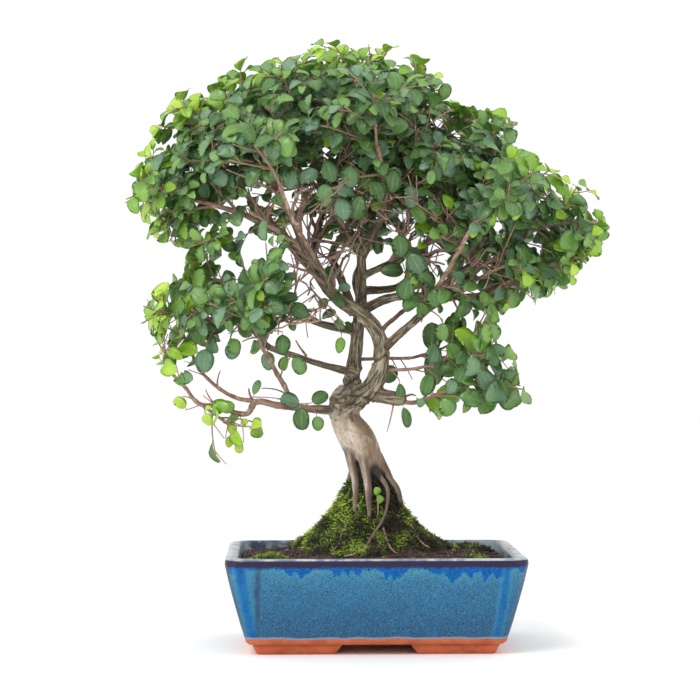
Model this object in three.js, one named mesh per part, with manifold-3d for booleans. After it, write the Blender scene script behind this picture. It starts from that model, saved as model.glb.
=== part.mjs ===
// A sweet plum bonsai in a glazed rectangular pot. Millimetres, +Z up, the front faces -Y.
// Everything is laid out from a point on the table under the tree, and the last lines move the group so that
// the origin lies on the table under the middle of the whole plant.
import * as THREE from "three";
import { mergeVertices } from "three/addons/utils/BufferGeometryUtils.js";
import Module from "manifold-3d";

const wasm = await Module();
wasm.setup();

// Driving dimensions

const clearance = 0.35; // between two pieces that touch
const rootClearance = 0.45; // between the wood and the ground that it stands in
const plantOffset = { x: 8, y: 0 }; // from the origin to the point that the layout starts from

const pot = {
  x: -4, // the tree stands a little to the right in its pot
  length: 245,
  depth: 180,
  cornerRadius: 18,
  cornerSteps: 3,
  // How far the wall has moved in from the rim's outline, and the height: outside from below, then inside.
  outside: [
    [19.5, 8.5],
    [17, 10.5],
    [16.2, 13],
    [11.8, 27],
    [4.2, 55],
    [1, 69],
    [0, 74],
    [0.6, 77.5],
    [2.6, 79],
  ],
  inside: [
    [8.4, 79],
    [10.4, 77],
    [12, 69],
    [14.6, 55],
    [22.4, 27],
    [25.5, 19.5],
    [29, 17.5],
  ],
};
const feet = {
  height: 8.5,
  topInset: 21.3,
  bottomInset: 26,
  innerInset: 40,
  gapAlongLength: 27, // half of the gap between two feet, at the top
  gapAlongDepth: 22,
  flare: 7, // by which the gap is wider at the table
  sunk: 0.6, // into the pot's underside
};
// Two drain holes, each under a square screen with four openings
const drain = { spacing: 52, radius: 9, sides: 14, sheet: 30, thickness: 1.2, opening: 8, pitch: 12 };

const soilLevel = 70;
const mound = { x: -8, y: 2, height: 66, plateau: 18, softness: 10, falloff: 28, depthFactor: 1.25 };
// "fade" is the strip, from outside the carpet's edge inwards, over which the soil under it gets lower
const moss = { thickness: 4.5, reach: 66, margin: 16, fade: 24, edge: 1.6, rooted: 8, overSoil: 0.6 };
const mossCushions = [
  { x: -92, y: -46, length: 30, width: 18, height: 6 },
  { x: 84, y: 34, length: 34, width: 20, height: 6 },
  { x: 78, y: -50, length: 24, width: 15, height: 5 },
];

// The wood. Each point is x, y, z and the radius there. "leafyFrom" is the first point that may carry sprays,
// and "tip" is where the spray at a limb's end reaches to, if it isn't simply onwards.

const bole = {
  sides: 12,
  points: [
    [-6, 0, 134, 9],
    [-7, 0, 146, 12],
    [-11, 0, 158, 14.2],
    [-18.5, -1, 172, 15.3],
    [-26.8, -2, 185, 12.6],
    [-28.8, -2, 196, 12.3],
    [-27, -2, 205, 11.3],
    [-22, -2, 211, 8],
  ],
};

const limbs = [
  // The thick limb that swings out to the right and back over to the upper left
  {
    name: "serpentine",
    sides: 8,
    leafyFrom: 12,
    points: [
      [-28, -3, 197, 10],
      [-17, -6, 206, 9.2],
      [-6, -8, 214, 8],
      [1, -8, 228, 7.2],
      [2.5, -7, 244, 6.6],
      [0, -7, 258, 6.4],
      [-7, -8, 269, 6.3],
      [-18, -9, 278, 6.2],
      [-30, -8, 286, 5.8],
      [-41, -7, 296, 5.2],
      [-49, -6, 307, 4.6],
      [-57, -6, 320, 4],
      [-67, -7, 332, 3.5],
      [-82, -9, 343, 3],
      [-98, -12, 352, 2.6],
      [-114, -14, 359, 2.2],
      [-133, -15, 365, 1.9],
      [-152, -14, 370, 1.5],
    ],
  },
  {
    name: "farLeftFork",
    sides: 4,
    leafyFrom: 1,
    points: [
      [-114, -14, 359, 2],
      [-132, 6, 366, 1.8],
      [-148, 22, 373, 1.5],
    ],
  },
  {
    name: "upperLeft",
    sides: 5,
    leafyFrom: 1,
    points: [
      [-82, -9, 343, 2.6],
      [-100, 4, 364, 2.3],
      [-118, 10, 386, 2],
      [-132, 12, 408, 1.6],
    ],
  },
  // The straight second stem, which forks below the crown
  {
    name: "upright",
    sides: 7,
    points: [
      [-26, 2, 198, 9],
      [-22, 4, 214, 7.6],
      [-20, 6, 230, 6.4],
      [-18, 8, 250, 5.8],
      [-16, 10, 268, 5.4],
      [-14, 10, 288, 5.1],
      [-14, 9, 305, 4.6],
      [-13.5, 8, 320, 4],
      [-14, 7, 331, 3.4],
    ],
  },
  {
    name: "crownLeft",
    sides: 5,
    leafyFrom: 3,
    points: [
      [-14, 7, 327, 3.2],
      [-24, 6, 341, 2.9],
      [-34, 6, 356, 2.6],
      [-44, 8, 376, 2.3],
      [-52, 10, 401, 2],
      [-56, 10, 424, 1.6],
    ],
  },
  {
    name: "crownRight",
    sides: 5,
    leafyFrom: 4,
    points: [
      [-13, 7, 327, 3.2],
      [-5, 4, 341, 3],
      [3, 1, 356, 2.8],
      [9, -2, 369, 2.6],
      [15, -4, 384, 2.3],
      [22, -4, 406, 2],
      [25, -2, 428, 1.6],
    ],
  },
  {
    name: "crownLeftFork",
    sides: 4,
    leafyFrom: 1,
    points: [
      [-44, 8, 376, 2.2],
      [-63, 16, 396, 2],
      [-80, 22, 414, 1.8],
      [-94, 26, 430, 1.5],
    ],
  },
  {
    name: "crownRightFork",
    sides: 4,
    leafyFrom: 1,
    points: [
      [9, -2, 369, 2.4],
      [24, 14, 388, 2.1],
      [37, 26, 404, 1.8],
      [46, 34, 418, 1.5],
    ],
  },
  {
    name: "crownMiddle",
    sides: 4,
    leafyFrom: 2,
    points: [
      [-44, 8, 376, 2.1],
      [-33, 2, 396, 1.9],
      [-24, -4, 419, 1.7],
      [-18, -8, 442, 1.4],
    ],
  },
  // The lowest branch on the left, nearly level, with its fork and its riser
  {
    name: "lowLeft",
    sides: 6,
    leafyFrom: 5,
    tip: [-178, -26, 248],
    points: [
      [-34, -4, 196, 4.4],
      [-60, -10, 197, 3.4],
      [-84, -14, 200, 3],
      [-102, -16, 203, 2.6],
      [-110, -17, 193, 2.3],
      [-134, -20, 199, 2],
      [-149, -22, 202, 1.8],
      [-160, -22, 214, 1.5],
      [-172, -22, 227, 1.3],
    ],
  },
  {
    name: "lowLeftFork",
    sides: 4,
    leafyFrom: 3,
    tip: [-164, 2, 262],
    points: [
      [-102, -16, 203, 2],
      [-120, -14, 207, 1.7],
      [-134, -12, 215, 1.5],
      [-150, -8, 230, 1.3],
    ],
  },
  {
    name: "lowLeftRiser",
    sides: 4,
    leafyFrom: 2,
    tip: [-110, -60, 282],
    points: [
      [-72, -12, 199, 2.2],
      [-79, -18, 217, 2.1],
      [-88, -28, 233, 1.9],
      [-97, -38, 249, 1.5],
    ],
  },
  {
    name: "midLeft",
    sides: 5,
    leafyFrom: 5,
    tip: [-184, -22, 280],
    points: [
      [-20, 2, 227, 3.6],
      [-48, -4, 234, 2.9],
      [-69, -10, 241, 2.6],
      [-90, -14, 248, 2.4],
      [-99, -16, 256, 2.2],
      [-111, -18, 266, 1.9],
      [-136, -20, 270, 1.7],
      [-157, -20, 273, 1.4],
    ],
  },
  {
    name: "midLeftFork",
    sides: 4,
    leafyFrom: 1,
    points: [
      [-97, -15, 254, 1.9],
      [-88, -30, 271, 1.7],
      [-84, -46, 287, 1.5],
    ],
  },
  {
    name: "backLeft",
    sides: 5,
    leafyFrom: 3,
    points: [
      [-17, 9, 262, 3.8],
      [-44, 18, 267, 3.2],
      [-60, 28, 273, 2.8],
      [-82, 42, 281, 2.3],
      [-108, 52, 291, 1.8],
      [-128, 58, 303, 1.4],
    ],
  },
  {
    name: "leftRiser",
    sides: 5,
    leafyFrom: 2,
    points: [
      [-58, -6, 321, 3],
      [-66, -10, 340, 2.8],
      [-72, -14, 354, 2.5],
      [-80, -18, 369, 2.2],
      [-90, -24, 386, 1.9],
      [-102, -30, 406, 1.5],
    ],
  },
  {
    name: "innerRiser",
    sides: 5,
    leafyFrom: 3,
    points: [
      [-47, -4, 303, 3.3],
      [-53, 8, 323, 3],
      [-53, 16, 341, 2.7],
      [-47, 24, 357, 2.4],
      [-46, 34, 378, 2],
      [-52, 46, 402, 1.6],
    ],
  },
  {
    name: "backRiser",
    sides: 5,
    leafyFrom: 3,
    points: [
      [-22, -2, 283, 3.8],
      [-33, 18, 312, 3.4],
      [-38, 30, 328, 3],
      [-28, 40, 346, 2.6],
      [-18, 50, 370, 2.2],
      [-12, 60, 398, 1.7],
    ],
  },
  {
    name: "backSweepLeft",
    sides: 4,
    leafyFrom: 2,
    points: [
      [-50, -4, 308, 2.8],
      [-64, 20, 322, 2.6],
      [-78, 42, 340, 2.2],
      [-94, 58, 360, 1.8],
      [-112, 68, 380, 1.4],
    ],
  },
  // Branches to the right
  {
    name: "midRight",
    sides: 6,
    leafyFrom: 4,
    tip: [182, -16, 352],
    points: [
      [2, -6, 244, 4],
      [18, -12, 260, 3.6],
      [33, -16, 273, 3.3],
      [44, -18, 282, 3],
      [62, -20, 292, 2.7],
      [75, -22, 300, 2.5],
      [80, -22, 311, 2.3],
      [93, -22, 320, 2.1],
      [110, -20, 331, 1.8],
      [126, -16, 344, 1.5],
    ],
  },
  {
    name: "slimRight",
    sides: 4,
    leafyFrom: 2,
    points: [
      [0, -4, 260, 2],
      [18, 12, 276, 1.8],
      [34, 24, 287, 1.6],
      [55, 38, 301, 1.4],
      [80, 50, 316, 1.2],
    ],
  },
  {
    name: "crossRight",
    sides: 6,
    leafyFrom: 4,
    points: [
      [-15, 9, 277, 4.4],
      [0, 3, 286, 4.1],
      [16, -4, 291, 3.8],
      [38, -8, 291, 3.2],
      [60, -6, 290, 2.8],
      [86, -4, 292, 2.3],
      [112, -6, 301, 1.8],
      [134, -8, 314, 1.4],
    ],
  },
  {
    name: "backRight",
    sides: 5,
    leafyFrom: 4,
    points: [
      [-13, 10, 296, 3.8],
      [2, 20, 297, 3.5],
      [20, 32, 301, 3.1],
      [36, 44, 318, 2.7],
      [44, 52, 338, 2.3],
      [54, 58, 360, 1.9],
      [68, 62, 384, 1.5],
    ],
  },
  {
    name: "upperRight",
    sides: 5,
    leafyFrom: 3,
    points: [
      [-13, 8, 308, 3.2],
      [4, 0, 316, 2.9],
      [22, -10, 325, 2.6],
      [44, -18, 336, 2.2],
      [70, -26, 349, 1.8],
      [96, -30, 364, 1.4],
    ],
  },
  {
    name: "shoulderFork",
    sides: 4,
    leafyFrom: 1,
    points: [
      [70, -26, 349, 1.8],
      [85, -8, 368, 1.6],
      [99, 8, 386, 1.4],
    ],
  },
  {
    name: "farRightFork",
    sides: 4,
    leafyFrom: 1,
    points: [
      [86, -4, 292, 2.1],
      [104, 14, 302, 1.8],
      [124, 26, 312, 1.5],
    ],
  },
  {
    name: "lowRight",
    sides: 4,
    leafyFrom: 3,
    tip: [104, -20, 216],
    points: [
      [14, -10, 204, 2.2],
      [28, -13, 202, 1.9],
      [38, -15, 205, 1.7],
      [52, -16, 210, 1.5],
      [70, -17, 216, 1.3],
      [88, -16, 223, 1.1],
    ],
  },
  // A thick branch that was cut back long ago
  {
    name: "cutStump",
    sides: 7,
    points: [
      [-8, -6, 211, 7],
      [6, -9, 207, 6.2],
      [18, -10.5, 205, 5.7],
      [22, -11, 204.5, 4.6],
    ],
  },
  {
    name: "slimRightLow",
    sides: 4,
    leafyFrom: 2,
    tip: [84, 14, 258],
    points: [
      [-18, 8, 238, 1.5],
      [8, 16, 239, 1.4],
      [32, 14, 240, 1.3],
      [54, 8, 247, 1.1],
    ],
  },
  {
    name: "slimRightMiddle",
    sides: 4,
    leafyFrom: 2,
    tip: [86, -32, 244],
    points: [
      [2, -7, 229, 1.5],
      [34, -12, 231, 1.3],
      [58, -18, 240, 1.1],
    ],
  },
  // Branches towards the back and the front, which round the crown out
  {
    name: "backMiddle",
    sides: 5,
    leafyFrom: 3,
    points: [
      [-15, 9, 290, 3.4],
      [-18, 32, 306, 3],
      [-10, 54, 326, 2.5],
      [2, 72, 346, 2],
      [12, 86, 368, 1.5],
    ],
  },
  {
    name: "frontLeft",
    sides: 5,
    leafyFrom: 2,
    points: [
      [-38, -7, 293, 3],
      [-48, -30, 312, 2.6],
      [-62, -52, 334, 2.2],
      [-74, -70, 356, 1.8],
      [-82, -84, 378, 1.4],
    ],
  },
  {
    name: "frontMiddle",
    sides: 4,
    leafyFrom: 2,
    points: [
      [2, 1, 354, 2.6],
      [5, -26, 372, 2.2],
      [2, -50, 392, 1.8],
      [-4, -68, 414, 1.4],
    ],
  },
  {
    name: "frontRight",
    sides: 4,
    leafyFrom: 2,
    points: [
      [36, -17, 277, 2.4],
      [50, -42, 302, 2.1],
      [64, -62, 328, 1.8],
      [76, -76, 352, 1.4],
    ],
  },
];

// The roots: two legs in front, one stepping off to the right, and others that run down over the mound
const roots = [
  [
    [-26, -6, 172, 5],
    [-23.5, -11, 154, 3.8],
    [-20, -14, 139, 3.2],
    [-19, -17, 126, 2.7],
    [-20, -20, 112, 1.8],
  ],
  [
    [-15, -8, 166, 5],
    [-12, -14, 150, 4],
    [-9.5, -18, 137, 3.5],
    [-8.5, -22, 123, 2.8],
    [-8, -25, 108, 1.8],
  ],
  [
    [-2, 0, 158, 5],
    [3, -4, 147, 3.2],
    [10, -6, 138, 2.7],
    [16, -7, 130, 2.5],
    [19, -8, 118, 2],
  ],
  [
    [-6, -8, 146, 3],
    [2, -15, 139, 2.8],
    [7, -20, 130, 2.6],
    [6, -27, 115, 2.1],
    [1, -36, 104, 1.8],
    [-8, -45, 92, 1.5],
    [-15, -52, 79, 1.2],
  ],
  [
    [-15, 4, 160, 6],
    [-21, 8, 142, 4.2],
    [-28, 10, 120, 3],
    [-39, 9, 101, 2.5],
    [-51, 7, 85, 1.8],
  ],
  [
    [-8, 8, 160, 6],
    [-8, 17, 142, 4],
    [-6, 24, 124, 3.2],
    [-4, 33, 104, 2.4],
    [-3, 42, 86, 1.7],
  ],
  [
    [-1, 6, 158, 5],
    [9, 12, 140, 3.6],
    [17, 15, 122, 2.8],
    [28, 18, 100, 2],
  ],
];

// The foliage. Every leafy limb ends in a spray. More sprays end on these ellipsoids, the pads of the crown.
const pads = [
  { centre: [-40, 0, 448], radii: [82, 78, 46], sprays: 2, leafScale: 1 }, // top
  { centre: [-122, 0, 410], radii: [62, 68, 48], sprays: 0, leafScale: 1 }, // upper left
  { centre: [-168, -6, 364], radii: [34, 44, 42], sprays: 0, leafScale: 1 }, // far left
  { centre: [42, 0, 416], radii: [60, 74, 46], sprays: 1, leafScale: 1 }, // upper right
  { centre: [98, 0, 368], radii: [60, 68, 44], sprays: 1, leafScale: 1 }, // right shoulder
  { centre: [148, -4, 340], radii: [40, 44, 32], sprays: 0, leafScale: 1 }, // far right
  { centre: [92, -4, 304], radii: [64, 60, 28], sprays: 1, leafScale: 1.05 }, // under the right shoulder
  { centre: [-122, -10, 280], radii: [62, 56, 36], sprays: 0, leafScale: 1.05 }, // lower left
  { centre: [68, -6, 228], radii: [46, 36, 32], sprays: 0, leafScale: 1.3 }, // low on the right
  { centre: [-130, -18, 214], radii: [48, 28, 24], sprays: 0, leafScale: 1.1 }, // low on the left
];
// Sprays that mark the crown's outline between the limbs' ends
const outerTips = [
  [-122, -24, 182], // hangs from the lowest branch
  [-4, 4, 480],
  [98, -8, 412],
  [-182, 4, 350],
];
// Sprays that fill the crown behind its outline
const innerTips = [
  [48, -46, 414],
  [1, 26, 412],
  [63, 17, 369],
  [100, 20, 331],
  [-98, 11, 291],
  [-91, -2, 399],
  [-20, 25, 352],
  [8, -18, 424],
];
// What the crown covers when it is seen from the front: x and z, round it clockwise from the top
const crownOutline = [
  [-82, 504],
  [-3, 504],
  [38, 488],
  [64, 470],
  [80, 455],
  [112, 446],
  [122, 430],
  [118, 414],
  [124, 402],
  [156, 386],
  [176, 377],
  [196, 354],
  [190, 332],
  [168, 308],
  [152, 290],
  [126, 275],
  [92, 264],
  [116, 246],
  [117, 198],
  [62, 186],
  [-60, 186],
  [-104, 170],
  [-124, 150],
  [-140, 158],
  [-142, 190],
  [-187, 204],
  [-180, 252],
  [-199, 268],
  [-190, 288],
  [-180, 303],
  [-164, 311],
  [-164, 329],
  [-202, 340],
  [-197, 354],
  [-211, 370],
  [-205, 394],
  [-200, 412],
  [-190, 440],
  [-178, 453],
  [-154, 464],
  [-138, 480],
  [-106, 496],
];
const sprays = {
  seed: 20260,
  spacing: 40, // least distance from a pad's spray to any other
  shell: [0.7, 0.98], // the share of a pad's radii that its sprays may end in
  undersideLimit: -0.65, // no spray of a pad ends lower than this share of its height
  tries: 900,
  endLength: 44, // of a leader at a limb's end
  shortestEnd: 20, // where the crown's outline is near
  edgeRoom: 10, // from such a leader's tip to the outline
  leaderRadius: [1.7, 1],
  leaderSteps: 2,
  bends: [0, 9, 18, 28], // how far a leader may bend aside to keep clear of other wood
  leafyLength: 70, // only this much of a long leader carries twigs
  sideTwigs: 3,
  twigLength: [38, 24],
  twigRadius: [0.75, 0.65],
  twigSwings: [0, 0.5, -0.5, 1, -1, 1.6, -1.6], // turns tried around the leader, in radians
  woodRoom: 0.6, // least gap between the wood of two sprays
  leafRoom: 0.4,
};
// What makes a bud a worse start for a leader: a turn away from its limb, or too little distance
const budCost = { turn: 34, shortest: 30, short: 40 };
const crownMiddle = [-10, 0, 320]; // leaves turn their faces away from here
const sprout = { x: -1.5, y: -23, height: 17, sunk: 3, radius: 0.8, leafScale: 0.5, leanY: -4 };
const leaf = {
  length: [16, 22],
  slimness: [0.62, 0.74], // width to length
  thickness: 0.65,
  // Cross-sections along the blade: share of its length, half its width there, and how far it arches up
  outline: [
    [0, 0, 0],
    [0.33, 0.46, 0.12],
    [0.7, 0.42, 0.12],
    [1, 0, -0.06],
  ],
  middles: [0.33, 0.68], // where two balls along the blade stand for it when room is looked for
  swings: [0, 0.6, -0.6, 1.3, -1.3, 2.2, -2.2], // turns tried around the shoot, in radians
};

// Small tools

const point = (x, y, z) => new THREE.Vector3(x, y, z);
const upwards = point(0, 0, 1);
const between = ([low, high], share) => low + (high - low) * share;

// The same stream of numbers from the same seed, from 0 to 1
function randomStream(seed) {
  let state = seed;
  return () => {
    state = (state * 48271) % 2147483647;
    return state / 2147483647;
  };
}

// A solid from its closed skin, faces turned out. Points that coincide become one, and triangles between
// them are dropped.
function solidFrom(geometry) {
  const bare = geometry.clone();
  bare.deleteAttribute("normal");
  bare.deleteAttribute("uv");
  const merged = mergeVertices(bare, 1e-4);
  const corners = merged.index.array;
  const at = (i) => point(0, 0, 0).fromBufferAttribute(merged.attributes.position, i);
  const kept = [];
  let volume = 0;
  for (let i = 0; i < corners.length; i += 3) {
    const [a, b, c] = corners.slice(i, i + 3);
    if (a === b || b === c || c === a) continue;
    kept.push([a, b, c]);
    volume += at(a).dot(at(b).cross(at(c)));
  }
  const facingOut = volume > 0 ? kept : kept.map(([a, b, c]) => [a, c, b]);
  return new wasm.Manifold(
    new wasm.Mesh({
      numProp: 3,
      vertProperties: merged.attributes.position.array,
      triVerts: new Uint32Array(facingOut.flat()),
    }),
  );
}

function joined(solids) {
  return solids.reduce((sum, solid) => sum.add(solid));
}

// What is left of a solid without the scraps that a cut may leave
function withoutScraps(solid) {
  return solid.decompose().reduce((a, b) => (b.volume() > a.volume() ? b : a));
}

// A closed skin through rings of points, with a fan over each end
function loft(rings) {
  const count = rings[0].length;
  const last = (rings.length - 1) * count;
  const triangles = [];
  for (let ring = 0; ring + 1 < rings.length; ring++) {
    for (let i = 0; i < count; i++) {
      const a = ring * count + i;
      const b = ring * count + ((i + 1) % count);
      triangles.push([a, b, b + count], [a, b + count, a + count]);
    }
  }
  for (let i = 1; i + 1 < count; i++) {
    triangles.push([0, i + 1, i], [last, last + i, last + i + 1]);
  }
  const skin = new THREE.BufferGeometry().setFromPoints(rings.flat());
  skin.setIndex(triangles.flat());
  return solidFrom(skin);
}

// A rounded rectangle, moved in from the pot's outline. "alongEdges" adds points to its straight sides.
function potRing(inset, z, alongEdges = 0) {
  const radius = Math.max(4, pot.cornerRadius - 0.55 * inset);
  const reach = [pot.length / 2 - inset - radius, pot.depth / 2 - inset - radius];
  const corners = [
    [1, 1],
    [-1, 1],
    [-1, -1],
    [1, -1],
  ];
  const ring = [];
  corners.forEach(([sideX, sideY], corner) => {
    for (let i = 0; i <= pot.cornerSteps; i++) {
      const angle = ((corner + i / pot.cornerSteps) * Math.PI) / 2;
      ring.push(
        point(sideX * reach[0] + radius * Math.cos(angle), sideY * reach[1] + radius * Math.sin(angle), z),
      );
    }
    const [nextX, nextY] = corners[(corner + 1) % 4];
    const from = ring.at(-1);
    const turn = ((corner + 1) * Math.PI) / 2;
    const to = point(nextX * reach[0] + radius * Math.cos(turn), nextY * reach[1] + radius * Math.sin(turn), z);
    for (let i = 1; i <= alongEdges; i++) ring.push(from.clone().lerp(to, i / (alongEdges + 1)));
  });
  return ring;
}

// The pot, its screens, the soil and the moss

function makePot() {
  const body = loft([...pot.outside, ...pot.inside].map(([inset, z]) => potRing(inset, z)));
  const skirt = loft([potRing(feet.bottomInset, 0), potRing(feet.topInset, feet.height + feet.sunk)]);
  const ring = skirt.subtract(
    loft([potRing(feet.innerInset, -1), potRing(feet.innerInset, feet.height + 1)]),
  );
  const archway = (halfGap) => {
    const shape = new THREE.Shape([
      new THREE.Vector2(-halfGap - feet.flare, -1),
      new THREE.Vector2(halfGap + feet.flare, -1),
      new THREE.Vector2(halfGap + feet.flare, 0),
      new THREE.Vector2(halfGap, feet.height),
      new THREE.Vector2(-halfGap, feet.height),
      new THREE.Vector2(-halfGap - feet.flare, 0),
    ]);
    const depth = pot.length + 10;
    return new THREE.ExtrudeGeometry(shape, { depth, bevelEnabled: false })
      .translate(0, 0, -depth / 2)
      .rotateX(Math.PI / 2);
  };
  const legs = ring
    .subtract(solidFrom(archway(feet.gapAlongLength)))
    .subtract(solidFrom(archway(feet.gapAlongDepth).rotateZ(Math.PI / 2)));
  const holes = [-1, 1].map((side) =>
    solidFrom(
      new THREE.CylinderGeometry(drain.radius, drain.radius, 2 * floorHeight(), drain.sides)
        .rotateX(Math.PI / 2)
        .translate(side * drain.spacing, 0, floorHeight() / 2),
    ),
  );
  return body.add(legs).subtract(joined(holes));
}

function floorHeight() {
  return pot.inside.at(-1)[1];
}

function box(length, depth, height, x, y, z) {
  return solidFrom(new THREE.BoxGeometry(length, depth, height).translate(x, y, z));
}

function makeDrainScreen(side) {
  const middle = floorHeight() + clearance + drain.thickness / 2;
  const openings = [-0.5, 0.5].flatMap((column) =>
    [-0.5, 0.5].map((row) =>
      box(
        drain.opening,
        drain.opening,
        drain.thickness * 2,
        side * drain.spacing + column * drain.pitch,
        row * drain.pitch,
        middle,
      ),
    ),
  );
  return box(drain.sheet, drain.sheet, drain.thickness, side * drain.spacing, 0, middle).subtract(
    joined(openings),
  );
}

function moundDistance(x, y) {
  return Math.hypot(x - mound.x, (y - mound.y) * mound.depthFactor);
}

// The height of the moss or bare soil over the pot's underside
function groundHeight(x, y) {
  const fall = Math.max(0, Math.hypot(moundDistance(x, y), mound.softness) - mound.plateau);
  const lumps = 0.9 * Math.sin(x * 0.21 + 1) * Math.sin(y * 0.27) + 0.7 * Math.sin(x * 0.11 - y * 0.16);
  return soilLevel + mound.height * Math.exp(-fall / mound.falloff) + lumps;
}

// The soil lies lower under the moss
function soilHeight(x, y) {
  const cover = Math.min(1, Math.max(0, (moss.reach + moss.margin - moundDistance(x, y)) / moss.fade));
  return groundHeight(x, y) - moss.thickness * cover;
}

function makeSoil(lift = 0) {
  const alongEdges = 2;
  const wallTop = pot.inside.find(([, z]) => z < soilLevel);
  const ringInPot = (inset, z) =>
    potRing(inset, z + lift, alongEdges).map((corner) => corner.setX(corner.x + pot.x));
  const outline = ringInPot(wallTop[0] + clearance, wallTop[1]);
  const shares = [0.1, 0.2, 0.33, 0.5, 0.72];
  const top = shares.map((share) =>
    outline.map((edge) => {
      const x = mound.x + (edge.x - mound.x) * share;
      const y = mound.y + (edge.y - mound.y) * share;
      return point(x, y, soilHeight(x, y) + lift);
    }),
  );
  const wall = pot.inside
    .filter(([, z]) => z < wallTop[1])
    .map(([inset, z]) => ringInPot(inset + clearance * 1.2, z + clearance));
  const recess = { side: drain.sheet + 2 * clearance, height: 8 };
  const recessMiddle = floorHeight() + drain.thickness + 2 * clearance - recess.height / 2;
  const recesses = [-1, 1].map((side) =>
    box(recess.side, recess.side, recess.height, pot.x + side * drain.spacing, 0, recessMiddle),
  );
  return loft([...top, outline, ...wall]).subtract(joined(recesses));
}

// A carpet with an uneven edge. It starts deep in the soil, which is then cut away from it.
function makeMoss() {
  const around = 20;
  const shares = [1, 0.76, 0.5, 0.26];
  const ringAt = (share, height) =>
    Array.from({ length: around }, (_, i) => {
      const angle = (i / around) * 2 * Math.PI;
      const reach = moss.reach + 10 * Math.sin(3 * angle + 1) + 5 * Math.sin(7 * angle);
      const x = mound.x + share * reach * Math.cos(angle);
      const y = mound.y + (share * reach * Math.sin(angle)) / mound.depthFactor;
      return point(x, y, height(x, y, angle));
    });
  const overside = shares.map((share) =>
    ringAt(share, (x, y, angle) => {
      const tuft = share < 1 ? 0.9 * Math.sin(9 * angle + 14 * share) : moss.edge - moss.thickness;
      return groundHeight(x, y) + tuft;
    }),
  );
  return loft([ringAt(1, () => soilLevel - moss.rooted), ...overside]);
}

function makeMossCushion({ x, y, length, width, height }) {
  const around = 9;
  const ringAt = (share, rise) =>
    Array.from({ length: around }, (_, i) => {
      const angle = (i / around) * 2 * Math.PI;
      const uneven = 1 + 0.12 * Math.sin(3 * angle);
      const px = x + (share * uneven * length * Math.cos(angle)) / 2;
      const py = y + (share * uneven * width * Math.sin(angle)) / 2;
      return point(px, py, soilHeight(px, py) + rise);
    });
  return loft([
    ringAt(1, -moss.rooted),
    ringAt(1, 0.3 * height),
    ringAt(0.8, 0.75 * height),
    ringAt(0.4, height),
  ]);
}

// Wood: tubes with a ring of points at each listed point. "grow" thickens and lengthens them.

function tubeRings(points, sides, { grow = 0, relief = () => 1, firstNormal, turn = 0 } = {}) {
  const centres = points.map(([x, y, z]) => point(x, y, z));
  const tangents = centres.map((_, i) =>
    centres[Math.min(i + 1, centres.length - 1)]
      .clone()
      .sub(centres[Math.max(i - 1, 0)])
      .normalize(),
  );
  if (grow > 0) {
    centres[0].addScaledVector(tangents[0], -grow);
    centres.at(-1).addScaledVector(tangents.at(-1), grow);
  }
  let normal = firstNormal ?? (Math.abs(tangents[0].y) < 0.8 ? point(0, 1, 0) : point(1, 0, 0));
  return centres.map((centre, i) => {
    normal = normal.clone().addScaledVector(tangents[i], -normal.dot(tangents[i])).normalize();
    const side = point(0, 0, 0).crossVectors(tangents[i], normal);
    return Array.from({ length: sides }, (_, k) => {
      const angle = turn + (k / sides) * 2 * Math.PI;
      const radius = points[i][3] * relief(angle, i) + grow;
      return centre
        .clone()
        .addScaledVector(normal, radius * Math.cos(angle))
        .addScaledVector(side, radius * Math.sin(angle));
    });
  });
}

function tube(points, sides, options) {
  return loft(tubeRings(points, sides, options));
}

// The bole looks twisted: its flutes wind up it
const boleRelief = (angle, i) =>
  1 + 0.08 * Math.sin(2 * angle + 0.7 * i) + 0.06 * Math.sin(5 * angle - 0.9 * i);

function boleAndRoots(grow) {
  return joined([
    tube(bole.points, bole.sides, { grow, relief: boleRelief }),
    ...roots.map((points) => tube(points, 5, { grow })),
  ]);
}

// Growth: where the sprays end, how they leave the limbs, and what grows on them

function withinCrown(place) {
  return crownOutline.reduce((inside, [x, z], i) => {
    const [lastX, lastZ] = crownOutline.at(i - 1);
    const passes = z > place.z !== lastZ > place.z;
    return passes && place.x < x + ((place.z - z) / (lastZ - z)) * (lastX - x) ? !inside : inside;
  }, false);
}

function padDepth(pad, tip) {
  return Math.hypot(...["x", "y", "z"].map((axis, i) => (tip[axis] - pad.centre[i]) / pad.radii[i]));
}

function leafScaleAt(place) {
  return pads.reduce((a, b) => (padDepth(b, place) < padDepth(a, place) ? b : a)).leafScale;
}

function sprayTips(buds) {
  const random = randomStream(sprays.seed);
  const tips = buds
    .filter((bud) => bud.last)
    .map((bud) => {
      if (bud.tip) return { at: point(...bud.tip), bud };
      const outwards = bud.at.clone().sub(point(...crownMiddle)).normalize();
      const heading = bud.along.clone().add(outwards).normalize();
      const endAt = (length) => bud.at.clone().addScaledVector(heading, length);
      let length = sprays.endLength;
      while (length > sprays.shortestEnd && !withinCrown(endAt(length + sprays.edgeRoom))) length -= 2;
      return { at: endAt(length), bud };
    });
  outerTips.forEach((tip) => tips.push({ at: point(...tip) }));
  for (const pad of pads) {
    let placed = 0;
    for (let tries = 0; tries < sprays.tries && placed < pad.sprays; tries++) {
      const height = 2 * random() - 1;
      const turn = 2 * Math.PI * random();
      const shell = between(sprays.shell, random());
      const flat = Math.sqrt(1 - height * height);
      const at = point(
        pad.centre[0] + pad.radii[0] * shell * flat * Math.cos(turn),
        pad.centre[1] + pad.radii[1] * shell * flat * Math.sin(turn),
        pad.centre[2] + pad.radii[2] * shell * height,
      );
      const buried = pads.some((other) => other !== pad && padDepth(other, at) < sprays.shell[0]);
      const crowded = tips.some((other) => other.at.distanceTo(at) < sprays.spacing);
      if (height < sprays.undersideLimit || buried || crowded || !withinCrown(at)) continue;
      tips.push({ at });
      placed++;
    }
  }
  innerTips.forEach((tip) => tips.push({ at: point(...tip) }));
  return tips;
}

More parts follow.
